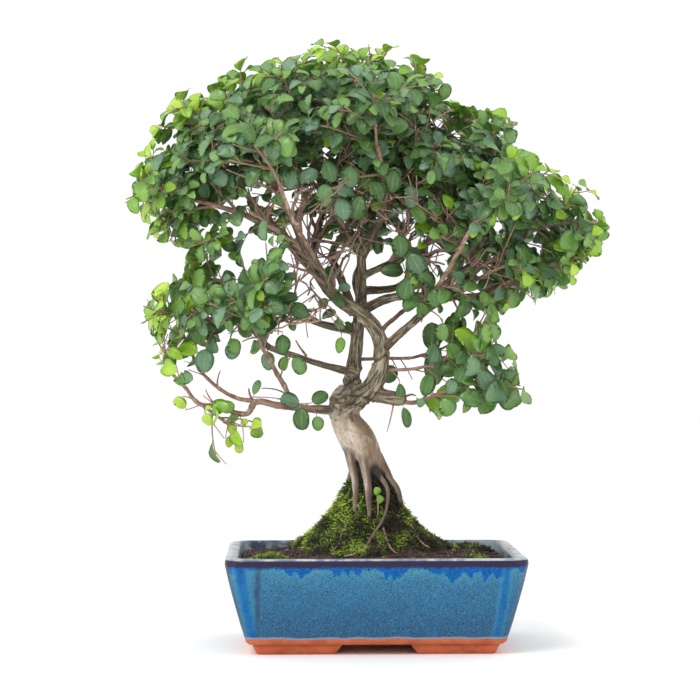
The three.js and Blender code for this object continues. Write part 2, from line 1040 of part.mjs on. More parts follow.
// Every place on the limbs that may carry a spray
function budPlaces() {
  return limbs
    .filter((limb) => limb.leafyFrom !== undefined)
    .flatMap((limb) =>
      limb.points.slice(limb.leafyFrom).map(([x, y, z, radius], i) => {
        const index = i + limb.leafyFrom;
        const before = point(...limb.points[index - 1]);
        return {
          at: point(x, y, z),
          along: point(x, y, z).sub(before).normalize(),
          radius,
          last: index === limb.points.length - 1,
          tip: limb.tip,
          taken: false,
        };
      }),
    );
}

function pickBud(buds, tip) {
  const cost = ({ at, along }) => {
    const way = tip.clone().sub(at);
    const distance = way.length();
    const turn = 1 - way.dot(along) / distance;
    return distance + budCost.turn * turn + (distance < budCost.shortest ? budCost.short : 0);
  };
  return buds.filter((bud) => !bud.taken && !bud.last).reduce((a, b) => (cost(b) < cost(a) ? b : a));
}

function onBend({ start, control, end }, t) {
  return point(0, 0, 0)
    .addScaledVector(start, (1 - t) * (1 - t))
    .addScaledVector(control, 2 * t * (1 - t))
    .addScaledVector(end, t * t);
}

// A place on a bent line, at a share of its stretches, and the direction there
function onShoot(points, share) {
  const stretch = Math.min(points.length - 2, Math.floor(share * (points.length - 1)));
  const from = point(...points[stretch]);
  const to = point(...points[stretch + 1]);
  const at = from.clone().lerp(to, share * (points.length - 1) - stretch);
  return { at, along: to.sub(from).normalize() };
}

// The shortest distance between the lines a-b and c-d
function lineDistance(a, b, c, d) {
  const first = b.clone().sub(a);
  const second = d.clone().sub(c);
  const apart = a.clone().sub(c);
  const [ff, ss, fs] = [first.dot(first), second.dot(second), first.dot(second)];
  const [fa, sa] = [first.dot(apart), second.dot(apart)];
  const clamp = (x) => Math.min(1, Math.max(0, x));
  const cross = ff * ss - fs * fs;
  let s = cross > 1e-9 ? clamp((fs * sa - fa * ss) / cross) : 0;
  let t = ss > 1e-9 ? (fs * s + sa) / ss : 0;
  if (t < 0 || t > 1) {
    t = clamp(t);
    s = ff > 1e-9 ? clamp((t * fs - fa) / ff) : 0;
  }
  return apart.addScaledVector(first, s).addScaledVector(second, -t).length();
}

// What has grown so far: wood as thick lines, and leaves as two balls each. "spray" is -1 on the limbs.
const grown = { wood: [], balls: [] };

function addWood(points, spray) {
  for (let i = 0; i + 1 < points.length; i++) {
    grown.wood.push({
      a: point(...points[i]),
      b: point(...points[i + 1]),
      radius: Math.max(points[i][3], points[i + 1][3]),
      spray,
    });
  }
}

// Whether wood through these points keeps clear of all other wood. Limbs that meet "origin" don't count.
function woodIsClear(points, spray, origin) {
  for (let i = 0; i + 1 < points.length; i++) {
    const a = point(...points[i]);
    const b = point(...points[i + 1]);
    const radius = Math.max(points[i][3], points[i + 1][3]);
    for (const other of grown.wood) {
      if (other.spray === spray) continue;
      if (origin && lineDistance(origin, origin, other.a, other.b) < 0.1) continue;
      if (lineDistance(a, b, other.a, other.b) < radius + other.radius + sprays.woodRoom) return false;
    }
  }
  return true;
}

// Whether a leaf's balls keep clear of other leaves, and of all wood but its own spray's
function ballsAreClear(balls, spray) {
  for (const ball of balls) {
    const room = ball.radius + sprays.leafRoom;
    for (const other of grown.wood) {
      if (other.spray === spray) continue;
      if (lineDistance(ball.at, ball.at, other.a, other.b) < room + other.radius) return false;
    }
    for (const other of grown.balls) {
      if (ball.at.distanceTo(other.at) < room + other.radius) return false;
    }
  }
  return true;
}

// A leader runs from a bud on a limb to the tip of its spray
function growLeader(tip, buds, index) {
  const bud = tip.bud ?? pickBud(buds, tip.at);
  const way = tip.at.clone().sub(bud.at);
  const distance = way.length();
  const heading = bud.along
    .clone()
    .multiplyScalar(0.4)
    .addScaledVector(way, 1 / distance)
    .addScaledVector(upwards, 0.25)
    .normalize();
  const sideways = point(0, 0, 0).crossVectors(way, upwards).normalize();
  const lifted = point(0, 0, 0).crossVectors(sideways, way).normalize();
  const steps = sprays.leaderSteps;
  for (const bend of sprays.bends) {
    for (let turn = 0; turn < (bend ? 8 : 1); turn++) {
      const angle = (turn * Math.PI) / 4;
      const control = bud.at
        .clone()
        .addScaledVector(heading, distance * 0.45)
        .addScaledVector(sideways, bend * Math.sin(angle))
        .addScaledVector(lifted, bend * Math.cos(angle));
      const curve = { start: bud.at, control, end: tip.at };
      const thick = Math.min(sprays.leaderRadius[0], bud.radius * 0.9);
      const points = Array.from({ length: steps + 1 }, (_, i) => [
        ...onBend(curve, i / steps).toArray(),
        between([thick, sprays.leaderRadius[1]], i / steps),
      ]);
      if (!woodIsClear(points.slice(0, 2), index, bud.at) || !woodIsClear(points.slice(1), index)) continue;
      bud.taken = true;
      addWood(points, index);
      return { points, index, leafScale: leafScaleAt(tip.at) };
    }
  }
  return null;
}

function growSideTwigs(leader) {
  const random = randomStream(sprays.seed + 977 * (leader.index + 1));
  const twigs = [];
  const phase = random() * 2 * Math.PI;
  const reach = point(...leader.points[0]).distanceTo(point(...leader.points.at(-1)));
  const firstShare = Math.max(0.35, 1 - sprays.leafyLength / reach);
  for (let i = 0; i < sprays.sideTwigs; i++) {
    const share = (i + 0.35 + 0.3 * random()) / sprays.sideTwigs;
    const t = firstShare + (0.92 - firstShare) * share;
    const { at: base, along } = onShoot(leader.points, t);
    const normal = point(0, 0, 0).crossVectors(along, upwards).normalize();
    const binormal = point(0, 0, 0).crossVectors(along, normal);
    const length = between(sprays.twigLength, share) * (0.85 + 0.3 * random());
    const lean = 0.5 + 0.25 * random();
    for (const swing of sprays.twigSwings) {
      const turn = phase + i * 2.4 + swing;
      const heading = along
        .clone()
        .multiplyScalar(lean)
        .addScaledVector(normal, Math.cos(turn))
        .addScaledVector(binormal, Math.sin(turn))
        .normalize();
      const end = base
        .clone()
        .addScaledVector(heading, length)
        .addScaledVector(along, length * 0.18)
        .addScaledVector(upwards, length * 0.1);
      const points = [
        [...base.toArray(), sprays.twigRadius[0]],
        [...end.toArray(), sprays.twigRadius[1]],
      ];
      if (!withinCrown(end) || !woodIsClear(points, leader.index)) continue;
      twigs.push(points);
      addWood(points, leader.index);
      break;
    }
  }
  return twigs;
}

// A leaf on a shoot at a share of its length, turned to a side, or straight on at its tip
function growLeaf(points, share, side, leader, random) {
  const { at: base, along } = onShoot(points, share);
  const outwards = base.clone().sub(point(...crownMiddle)).normalize();
  outwards.setZ(Math.max(outwards.z, -0.1)).normalize();
  const length = between(leaf.length, random()) * leader.leafScale;
  const width = length * between(leaf.slimness, random());
  const roll = 2 * random() - 1;
  const spread = side === 0 ? 0.25 : 1.2 + 0.3 * random();
  for (const swing of leaf.swings) {
    const across = point(0, 0, 0).crossVectors(outwards, along).normalize();
    across.applyAxisAngle(along, 0.4 * roll + swing).multiplyScalar(side || 1);
    const heading = along.clone().addScaledVector(across, spread);
    heading.addScaledVector(outwards, -0.65 * heading.dot(outwards)).normalize();
    const normal = outwards.clone().addScaledVector(upwards, 0.7).addScaledVector(across, 0.3 * roll);
    normal.addScaledVector(heading, -normal.dot(heading)).normalize();
    const balls = leaf.middles.map((part) => ({
      at: base.clone().addScaledVector(heading, part * length),
      radius: 0.5 * width,
    }));
    const end = base.clone().addScaledVector(heading, length);
    const outside = leader.index !== "sprout" && !withinCrown(end);
    if (outside || !ballsAreClear(balls, leader.index)) continue;
    grown.balls.push(...balls);
    return { base, heading, normal, length, width };
  }
  return null;
}

// The first leaf of a shoot sits on its tip. The leader and the longest twig also have one beside it.
function growLeaves(leader, twigs) {
  const random = randomStream(sprays.seed + 3571 * (leader.index + 1));
  return [leader.points, ...twigs].map((points, i) => {
    const tipLeaf = growLeaf(points, 1, 0, leader, random);
    const second = i < 2 ? growLeaf(points, i ? 0.58 : 0.8, i ? -1 : 1, leader, random) : null;
    return [tipLeaf, second];
  });
}

// A seedling-like sprout that rises from the moss in front of the bole
function growSprout() {
  const ground = groundHeight(sprout.x, sprout.y);
  const points = [
    [sprout.x, sprout.y, ground - sprout.sunk, sprout.radius],
    [sprout.x, sprout.y + sprout.leanY, ground + sprout.height, sprout.radius],
  ];
  const leader = { points, index: "sprout", leafScale: sprout.leafScale };
  const random = randomStream(sprays.seed);
  addWood(points, leader.index);
  const leaves = [
    [1, 0],
    [0.72, 1],
    [0.62, -1],
  ].map(([share, side]) => growLeaf(points, share, side, leader, random));
  return { shoots: [points], leaves: [leaves] };
}

// The cross-sections of a blade, from its base to its pointed tip
function leafRings({ base, heading, normal, length, width }) {
  const across = point(0, 0, 0).crossVectors(normal, heading);
  const half = leaf.thickness / 2;
  return leaf.outline.map(([along, share, rise]) =>
    [
      [1, 1],
      [-1, 1],
      [-1, -1],
      [1, -1],
    ].map(([up, side]) =>
      base
        .clone()
        .addScaledVector(heading, along * length)
        .addScaledVector(normal, rise * width + up * half)
        .addScaledVector(across, side * share * width),
    ),
  );
}

// A twig with the leaf at its tip, as one skin
function shootSolid(points, tipLeaf) {
  const downwards = [...points].reverse();
  if (!tipLeaf) return tube(downwards, 4);
  const blade = leafRings(tipLeaf).slice(1).reverse();
  const firstNormal = tipLeaf.normal;
  return loft([...blade, ...tubeRings(downwards, 4, { firstNormal, turn: Math.PI / 4 })]);
}

function spraySolid({ shoots, leaves }, limbRoom) {
  const whole = joined(
    shoots.flatMap((points, i) => {
      const [tipLeaf, ...others] = leaves[i];
      return [shootSolid(points, tipLeaf), ...others.filter(Boolean).map((blade) => loft(leafRings(blade)))];
    }),
  );
  return withoutScraps(whole.subtract(limbRoom));
}

function growSprays() {
  for (const limb of limbs) addWood(limb.points, -1);
  for (const points of [bole.points, ...roots]) addWood(points, -1);
  const buds = budPlaces();
  const leaders = sprayTips(buds)
    .map((tip, index) => growLeader(tip, buds, index))
    .filter(Boolean);
  const branched = leaders.map((leader) => ({ leader, twigs: growSideTwigs(leader) }));
  return branched.map(({ leader, twigs }) => ({
    shoots: [leader.points, ...twigs],
    leaves: growLeaves(leader, twigs),
  }));
}

// Assembly

const finishes = {
  glaze: new THREE.MeshStandardMaterial({ color: 0x3f6f92, roughness: 0.25, metalness: 0 }),
  screen: new THREE.MeshStandardMaterial({ color: 0x202421, roughness: 0.6, metalness: 0 }),
  soil: new THREE.MeshStandardMaterial({ color: 0x2f2320, roughness: 0.95, metalness: 0 }),
  moss: new THREE.MeshStandardMaterial({ color: 0x5c7a22, roughness: 0.95, metalness: 0 }),
  bark: new THREE.MeshStandardMaterial({ color: 0x8a7666, roughness: 0.8, metalness: 0 }),
  foliage: new THREE.MeshStandardMaterial({ color: 0x3f7a35, roughness: 0.45, metalness: 0 }),
};

const bonsai = new THREE.Group();
const potStand = new THREE.Group();

function place(name, solid, finish, group = bonsai) {
  const { vertProperties, triVerts } = solid.getMesh();
  const geometry = new THREE.BufferGeometry();
  geometry.setAttribute("position", new THREE.BufferAttribute(vertProperties, 3));
  geometry.setIndex(new THREE.BufferAttribute(triVerts, 1));
  geometry.computeVertexNormals();
  const mesh = new THREE.Mesh(geometry, finish);
  mesh.name = name;
  group.add(mesh);
}

const limbSolids = (grow) => limbs.map(({ points, sides }) => tube(points, sides, { grow }));
const limbRoom = joined(limbSolids(clearance));
const foliage = growSprays();
const seedling = growSprout();
const soilRoom = makeSoil(moss.overSoil);
const holeRoom = boleAndRoots(rootClearance).add(tube(seedling.shoots[0], 6, { grow: rootClearance }));

place("pot", makePot(), finishes.glaze, potStand);
place("drain_screen_left", makeDrainScreen(-1), finishes.screen, potStand);
place("drain_screen_right", makeDrainScreen(1), finishes.screen, potStand);
place("soil", makeSoil().subtract(holeRoom), finishes.soil);
place("moss_carpet", makeMoss().subtract(soilRoom).subtract(holeRoom), finishes.moss);
mossCushions.forEach((cushion, i) => {
  place(`moss_cushion_${i + 1}`, makeMossCushion(cushion).subtract(soilRoom), finishes.moss);
});
place("tree", joined([boleAndRoots(0), ...limbSolids(0)]), finishes.bark);
place("sprout", spraySolid(seedling, limbRoom), finishes.foliage);
foliage.forEach((spray, i) => {
  place(`spray_${String(i + 1).padStart(2, "0")}`, spraySolid(spray, limbRoom), finishes.foliage);
});
potStand.position.x = pot.x;
bonsai.add(potStand);
bonsai.position.set(plantOffset.x, plantOffset.y, 0);

export default bonsai;
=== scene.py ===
# Sweet plum bonsai in a blue glazed pot. The dictionaries are in mm, measured from a point on the table
# under the tree, and every mesh is written in metres in the frame's own space.
import math

import bpy
import numpy as np
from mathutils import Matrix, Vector
from mathutils.kdtree import KDTree


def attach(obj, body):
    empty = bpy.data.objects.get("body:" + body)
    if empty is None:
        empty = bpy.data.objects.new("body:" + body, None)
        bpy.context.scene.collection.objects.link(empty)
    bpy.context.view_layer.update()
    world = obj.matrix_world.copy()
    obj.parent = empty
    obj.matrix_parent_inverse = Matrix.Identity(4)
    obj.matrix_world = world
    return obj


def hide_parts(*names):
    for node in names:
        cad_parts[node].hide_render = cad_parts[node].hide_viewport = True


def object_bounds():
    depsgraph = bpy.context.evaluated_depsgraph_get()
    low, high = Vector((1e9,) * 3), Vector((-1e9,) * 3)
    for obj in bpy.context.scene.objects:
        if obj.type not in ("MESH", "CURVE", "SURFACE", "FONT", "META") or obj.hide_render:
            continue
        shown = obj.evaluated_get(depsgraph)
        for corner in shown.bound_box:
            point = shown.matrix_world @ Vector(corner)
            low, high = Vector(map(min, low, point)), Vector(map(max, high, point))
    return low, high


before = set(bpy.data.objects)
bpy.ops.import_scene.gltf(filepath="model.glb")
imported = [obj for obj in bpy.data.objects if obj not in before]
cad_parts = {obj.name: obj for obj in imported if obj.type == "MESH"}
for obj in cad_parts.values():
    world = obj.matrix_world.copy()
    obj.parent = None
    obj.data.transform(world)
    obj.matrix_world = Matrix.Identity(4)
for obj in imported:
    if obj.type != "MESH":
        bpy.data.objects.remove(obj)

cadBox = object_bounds()
mm = 0.001
plantOffset = np.array([8.0, 0.0, 0.0])  # from the frame's origin to the point the layout starts from
up = np.array([0.0, 0.0, 1.0])
turnFull = 2 * math.pi

print("frame loaded", len(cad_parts), "nodes")


# Small maths

def vec(x, y, z):
    return np.array([x, y, z], dtype=float)


def cross(a, b):
    return np.array([a[1] * b[2] - a[2] * b[1], a[2] * b[0] - a[0] * b[2], a[0] * b[1] - a[1] * b[0]])


def size(v):
    return math.sqrt(v[0] * v[0] + v[1] * v[1] + v[2] * v[2])


def sizes(rows):
    return np.linalg.norm(rows, axis=1)


def held(values):  # no lower than 0, no higher than 1
    return np.clip(values, 0, 1)


def rowsUnder(keys, rows):  # a dictionary for each row, without what is None
    return [{key: value for key, value in zip(keys, row) if value is not None} for row in rows]


def unit(v):
    return v / max(size(v), 1e-12)


def turned(v, axis, angle):
    c = math.cos(angle)
    s = math.sin(angle)
    return v * c + cross(axis, v) * s + axis * ((axis @ v) * (1 - c))


def between(pair, share):
    return pair[0] + (pair[1] - pair[0]) * share


def randomStream(seed):
    state = seed
    while True:
        state = state * 48271 % 2147483647
        yield state / 2147483647


def lattice(cells, seed):  # a fixed number from 0 to 1 for every cell corner
    c = cells.astype(np.int64).astype(np.uint64)
    h = c[:, 0] * np.uint64(374761393) + c[:, 1] * np.uint64(668265263) + c[:, 2] * np.uint64(2246822519)
    h = h + np.uint64(seed * 3266489917 % (1 << 62))
    h = (h ^ (h >> np.uint64(13))) * np.uint64(1274126177)
    h = h ^ (h >> np.uint64(16))
    return (h & np.uint64(0xFFFFF)).astype(float) / 0xFFFFF


def softNoise(points, scale, seed=1, octaves=1):  # -1 to 1, features about "scale" mm wide
    total = np.zeros(len(points))
    weight = 1.0
    whole = 0.0
    for octave in range(octaves):
        p = np.asarray(points, dtype=float) / scale + 1000.5
        low = np.floor(p)
        f = p - low
        f = f * f * (3 - 2 * f)
        value = np.zeros(len(p))
        for dx in (0, 1):
            for dy in (0, 1):
                for dz in (0, 1):
                    part = (f[:, 0] if dx else 1 - f[:, 0]) * (f[:, 1] if dy else 1 - f[:, 1])
                    part = part * (f[:, 2] if dz else 1 - f[:, 2])
                    value += part * lattice(low + np.array([dx, dy, dz]), seed + octave * 17)
        total += weight * (2 * value - 1)
        whole += weight
        weight *= 0.5
        scale *= 0.5
    return total / whole


# Meshes from arrays

def meshPiece(name, parts, materials, standsFor=()):
    begins = np.cumsum([0] + [len(p["v"]) for p in parts])
    faces = [(np.asarray(p[key]) + begin, p.get("look", 0))
             for p, begin in zip(parts, begins) for key in ("quads", "tris") if len(p.get(key, ()))]
    verts = np.concatenate([p["v"] for p in parts])
    corners = np.concatenate([f.ravel() for f, look in faces])
    counts = np.concatenate([np.full(len(f), f.shape[1]) for f, look in faces])
    looks = np.concatenate([np.full(len(f), look) for f, look in faces])
    mesh = bpy.data.meshes.new(name)
    mesh.vertices.add(len(verts))
    mesh.vertices.foreach_set("co", ((verts + plantOffset) * mm).astype(np.float32).ravel())
    mesh.loops.add(len(corners))
    mesh.loops.foreach_set("vertex_index", corners.astype(np.int32))
    mesh.polygons.add(len(counts))
    mesh.polygons.foreach_set("loop_start", (np.cumsum(counts) - counts).astype(np.int32))
    mesh.update(calc_edges=True)
    mesh.shade_smooth()
    for material in materials:
        mesh.materials.append(material)
    mesh.polygons.foreach_set("material_index", looks.astype(np.int32))
    for key in sorted({k for p in parts for k in p.get("marks", {})}):
        values = np.concatenate([p.get("marks", {}).get(key, np.zeros(len(p["v"]))) for p in parts])
        mesh.attributes.new(key, "FLOAT", "POINT").data.foreach_set("value", values.astype(np.float32))
    if any("uv" in p for p in parts):
        uv = np.concatenate([p["uv"] if "uv" in p else np.zeros((len(p["v"]), 2)) for p in parts])
        mesh.uv_layers.new(name="bladeMap").data.foreach_set("uv", uv[corners].astype(np.float32).ravel())
    mesh.validate()
    piece = placed(name, mesh)
    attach(piece, "root")
    if standsFor:
        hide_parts(*standsFor)
    return piece


def placed(name, data):
    made = bpy.data.objects.new(name, data)
    bpy.context.scene.collection.objects.link(made)
    return made


def smoothPath(points, step):  # a denser line through x, y, z, radius
    p = np.asarray(points, dtype=float)
    gaps = sizes(np.diff(p[:, :3], axis=0))
    slopes = np.zeros_like(p)
    slopes[0] = (p[1] - p[0]) / gaps[0]
    slopes[-1] = (p[-1] - p[-2]) / gaps[-1]
    for i in range(1, len(p) - 1):
        slopes[i] = (p[i + 1] - p[i - 1]) / (gaps[i] + gaps[i - 1])
    out = []
    for i, gap in enumerate(gaps):
        count = max(1, int(math.ceil(gap / step)))
        t = (np.arange(count) / count)[:, None]
        a = 2 * t**3 - 3 * t**2 + 1
        b = (t**3 - 2 * t**2 + t) * gap
        c = -2 * t**3 + 3 * t**2
        d = (t**3 - t**2) * gap
        out.append(a * p[i] + b * slopes[i] + c * p[i + 1] + d * slopes[i + 1])
    out.append(p[-1:])
    return np.concatenate(out)


def pathFrames(path):  # tangent and two directions across for every point of a line
    centres = path[:, :3]
    tangents = np.zeros_like(centres)
    tangents[1:-1] = centres[2:] - centres[:-2]
    tangents[0] = centres[1] - centres[0]
    tangents[-1] = centres[-1] - centres[-2]
    tangents /= sizes(tangents)[:, None]
    normal = vec(0, 1, 0) if abs(tangents[0][1]) < 0.8 else vec(1, 0, 0)
    normals = []
    for tangent in tangents:
        normal = unit(normal - tangent * (normal @ tangent))
        normals.append(normal)
    normals = np.array(normals)
    return tangents, normals, np.cross(tangents, normals)


def ringFaces(rings, around, first=0):
    i = np.arange(around)
    j = (i + 1) % around
    quads = [np.stack([first + r * around + i, first + r * around + j,
                       first + (r + 1) * around + j, first + (r + 1) * around + i], axis=1)
             for r in range(rings - 1)]
    return np.concatenate(quads)


def circles(one, two, sides):  # round each place, in the plane of two directions
    angles = np.arange(sides) / sides * turnFull
    return one[:, None] * np.cos(angles)[None, :, None] + two[:, None] * np.sin(angles)[None, :, None]


def closedTube(rings, lowEnd, highEnd):  # a skin through equal rings, with a fan over each end
    n, around = len(rings), len(rings[0])
    i = np.arange(around)
    j = (i + 1) % around
    low = np.stack([np.full(around, n * around), j, i], axis=1)
    high = np.stack([np.full(around, n * around + 1), (n - 1) * around + i, (n - 1) * around + j], axis=1)
    return {"v": np.concatenate([np.reshape(rings, (-1, 3)), [lowEnd], [highEnd]]),
            "quads": ringFaces(n, around), "tris": np.concatenate([low, high])}


def sweep(path, sides, relief=None):  # a closed tube round a dense line
    tangents, normals, across = pathFrames(path)
    radius = np.repeat(path[:, 3:4], sides, axis=1)
    if relief is not None:
        radius = radius * relief(path, np.arange(sides) / sides * turnFull)
    rings = path[:, None, :3] + circles(normals, across, sides) * radius[:, :, None]
    return closedTube(rings, path[0, :3] - tangents[0] * path[0, 3] * 0.35,
                      path[-1, :3] + tangents[-1] * path[-1, 3] * 0.45)


def loftRings(rings):
    return closedTube(rings, rings[0].mean(axis=0), rings[-1].mean(axis=0))


def copies(quads, tris, many, count):  # the faces of one small shape, for many of them in a row
    begin = (np.arange(many) * count)[:, None, None]
    return {"quads": (quads[None] + begin).reshape(-1, 4), "tris": (tris[None] + begin).reshape(-1, 3)}


def runAlong(line):  # how far along the line each of its points is
    return np.concatenate([[0], np.cumsum(sizes(np.diff(line[:, :3], axis=0)))])


# A small set of helpers for materials

class Nodes:
    def __init__(self, name):
        self.material = bpy.data.materials.new(name)
        self.material.use_nodes = True
        self.tree = self.material.node_tree
        self.tree.nodes.clear()
        self.output = self.tree.nodes.new("ShaderNodeOutputMaterial")

    def add(self, kind, inputs=None, **settings):
        node = self.tree.nodes.new(kind)
        for key, value in settings.items():
            setattr(node, key, value)
        for key, value in (inputs or {}).items():
            self.put(node.inputs[key], value)
        return node

    def put(self, socket, value):
        if isinstance(value, bpy.types.NodeSocket):
            self.tree.links.new(value, socket)
        elif isinstance(value, (tuple, list)) and len(value) == 3 and socket.type == "RGBA":
            socket.default_value = (*value, 1.0)
        else:
            socket.default_value = value

    def math(self, operation, a, b=0.0):
        return self.add("ShaderNodeMath", {0: a, 1: b}, operation=operation).outputs[0]

    def times(self, a, b):
        return self.math("MULTIPLY", a, b)

    def plus(self, a, b):
        return self.math("ADD", a, b)

    def minus(self, a, b):
        return self.math("SUBTRACT", a, b)

    def ramp(self, value, low, high, outLow=0.0, outHigh=1.0):  # a soft step between two values
        limits = {"Value": value, "From Min": low, "From Max": high, "To Min": outLow, "To Max": outHigh}
        return self.add("ShaderNodeMapRange", limits, interpolation_type="SMOOTHSTEP").outputs["Result"]

    def noise(self, coords, scale, detail=2.0, roughness=0.5):
        settings = {"Vector": coords, "Scale": scale, "Detail": detail, "Roughness": roughness}
        return self.add("ShaderNodeTexNoise", settings).outputs["Fac"]

    def cells(self, coords, scale):
        return self.add("ShaderNodeTexVoronoi", {"Vector": coords, "Scale": scale}).outputs["Distance"]

    def stretch(self, coords, x, y, z):
        return self.add("ShaderNodeMapping", {"Vector": coords, "Scale": (x, y, z)}).outputs["Vector"]

    def place(self):
        return self.add("ShaderNodeTexCoord").outputs["Object"]

    def mark(self, name):
        return self.add("ShaderNodeAttribute", attribute_name=name).outputs["Fac"]

    def mix(self, share, a, b):
        node = self.add("ShaderNodeMix", data_type="RGBA", clamp_factor=True)
        for socket, value in ((node.inputs["Factor"], share), (node.inputs[6], a), (node.inputs[7], b)):
            self.put(socket, value)
        return node.outputs[2]

    def stain(self, base, value, limits, colour):  # a colour laid over the base where the value is high
        return self.mix(self.ramp(value, *limits), base, tint(*colour))

    def stains(self, base, rows):
        for value, limits, colour in rows:
            base = self.stain(base, value, limits, colour)
        return base

    def colours(self, value, stops):
        node = self.add("ShaderNodeValToRGB", {"Fac": value})
        band = node.color_ramp
        while len(band.elements) < len(stops):
            band.elements.new(0.5)
        for element, (position, colour) in zip(band.elements, stops):
            element.position = position
            element.color = (*tint(*colour), 1.0)
        return node.outputs["Color"]

    def bump(self, height, strength, distance):
        node = self.add("ShaderNodeBump", {"Height": height, "Strength": strength, "Distance": distance})
        return node.outputs["Normal"]

    def surface(self, **inputs):
        node = self.add("ShaderNodeBsdfPrincipled", {k.replace("_", " "): v for k, v in inputs.items()})
        return node.outputs["BSDF"]

    def finish(self, shader):
        self.tree.links.new(shader, self.output.inputs["Surface"])
        return self.material


def tint(red, green, blue):  # an sRGB colour, 0 to 255, as the shader wants it
    parts = (red, green, blue)
    return tuple(((c / 255 + 0.055) / 1.055) ** 2.4 if c > 10 else c / 255 / 12.92 for c in parts)


# Camera, lights and floor

view = {
    "camera": (-76.3, -1780, 246),  # mm, in the layout
    "turn": 1.70,  # degrees to the right
    "lens": 109.2,
    "floorRadius": 9.0,
}


def makeStage():
    camera = placed("camera", bpy.data.cameras.new("camera"))
    camera.location = Vector(np.array(view["camera"]) + plantOffset) * mm
    camera.rotation_euler = (math.radians(90), 0, -math.radians(view["turn"]))
    camera.data.lens = view["lens"]
    camera.data.sensor_width = 36
    camera.data.clip_start = 0.05
    camera.data.clip_end = 60
    bpy.context.scene.camera = camera

    world = bpy.data.worlds.new("studio")
    bpy.context.scene.world = world
    world.use_nodes = True
    back = world.node_tree.nodes["Background"]
    back.inputs["Color"].default_value = (1.0, 1.0, 1.0, 1.0)
    back.inputs["Strength"].default_value = 1.05

    lamps = [
        # name, place, size, power, aim
        ("keyLamp", (-1.1, -1.5, 1.9), 0.9, 24, (0, 0, 0.3)),
        ("leftLamp", (-2.1, -0.7, 0.55), 1.2, 11, (-0.1, 0, 0.36)),
        ("rightLamp", (2.1, -0.7, 0.55), 1.2, 9, (0.1, 0, 0.36)),
        ("topLamp", (0.3, 0.2, 2.4), 1.2, 5, (0, 0, 0.3)),
    ]
    for name, place, width, power, aim in lamps:
        lamp = bpy.data.lights.new(name, "AREA")
        lamp.size = width
        lamp.energy = power
        lamp.color = (1.0, 0.98, 0.95)
        holder = placed(name, lamp)
        holder.location = place
        holder.rotation_euler = (Vector(aim) - Vector(place)).to_track_quat("-Z", "Y").to_euler()

    around = np.arange(96) / 96 * turnFull
    circle = np.stack([np.cos(around), np.sin(around), np.zeros(96)], axis=1) * view["floorRadius"]
    mesh = bpy.data.meshes.new("floor")
    mesh.from_pydata(circle.tolist(), [], [list(range(96))])
    floor = placed("floor", mesh)
    n = Nodes("paleFloor")
    mesh.materials.append(n.finish(n.surface(Base_Color=(0.96, 0.96, 0.96), Roughness=0.8)))
    bpy.context.scene.view_settings.view_transform = "Standard"
    bpy.context.scene.view_settings.look = "None"


makeStage()
print("stage ready")


bole = {
    "points": [
        (-6, 0, 134, 9), (-7, 0, 146, 12), (-11, 0, 158, 14.2), (-18.5, -1, 172, 15.3),
        (-26.8, -2, 185, 12.6), (-28.8, -2, 196, 12.3), (-27, -2, 205, 11.3), (-22, -2, 211, 8)],
}

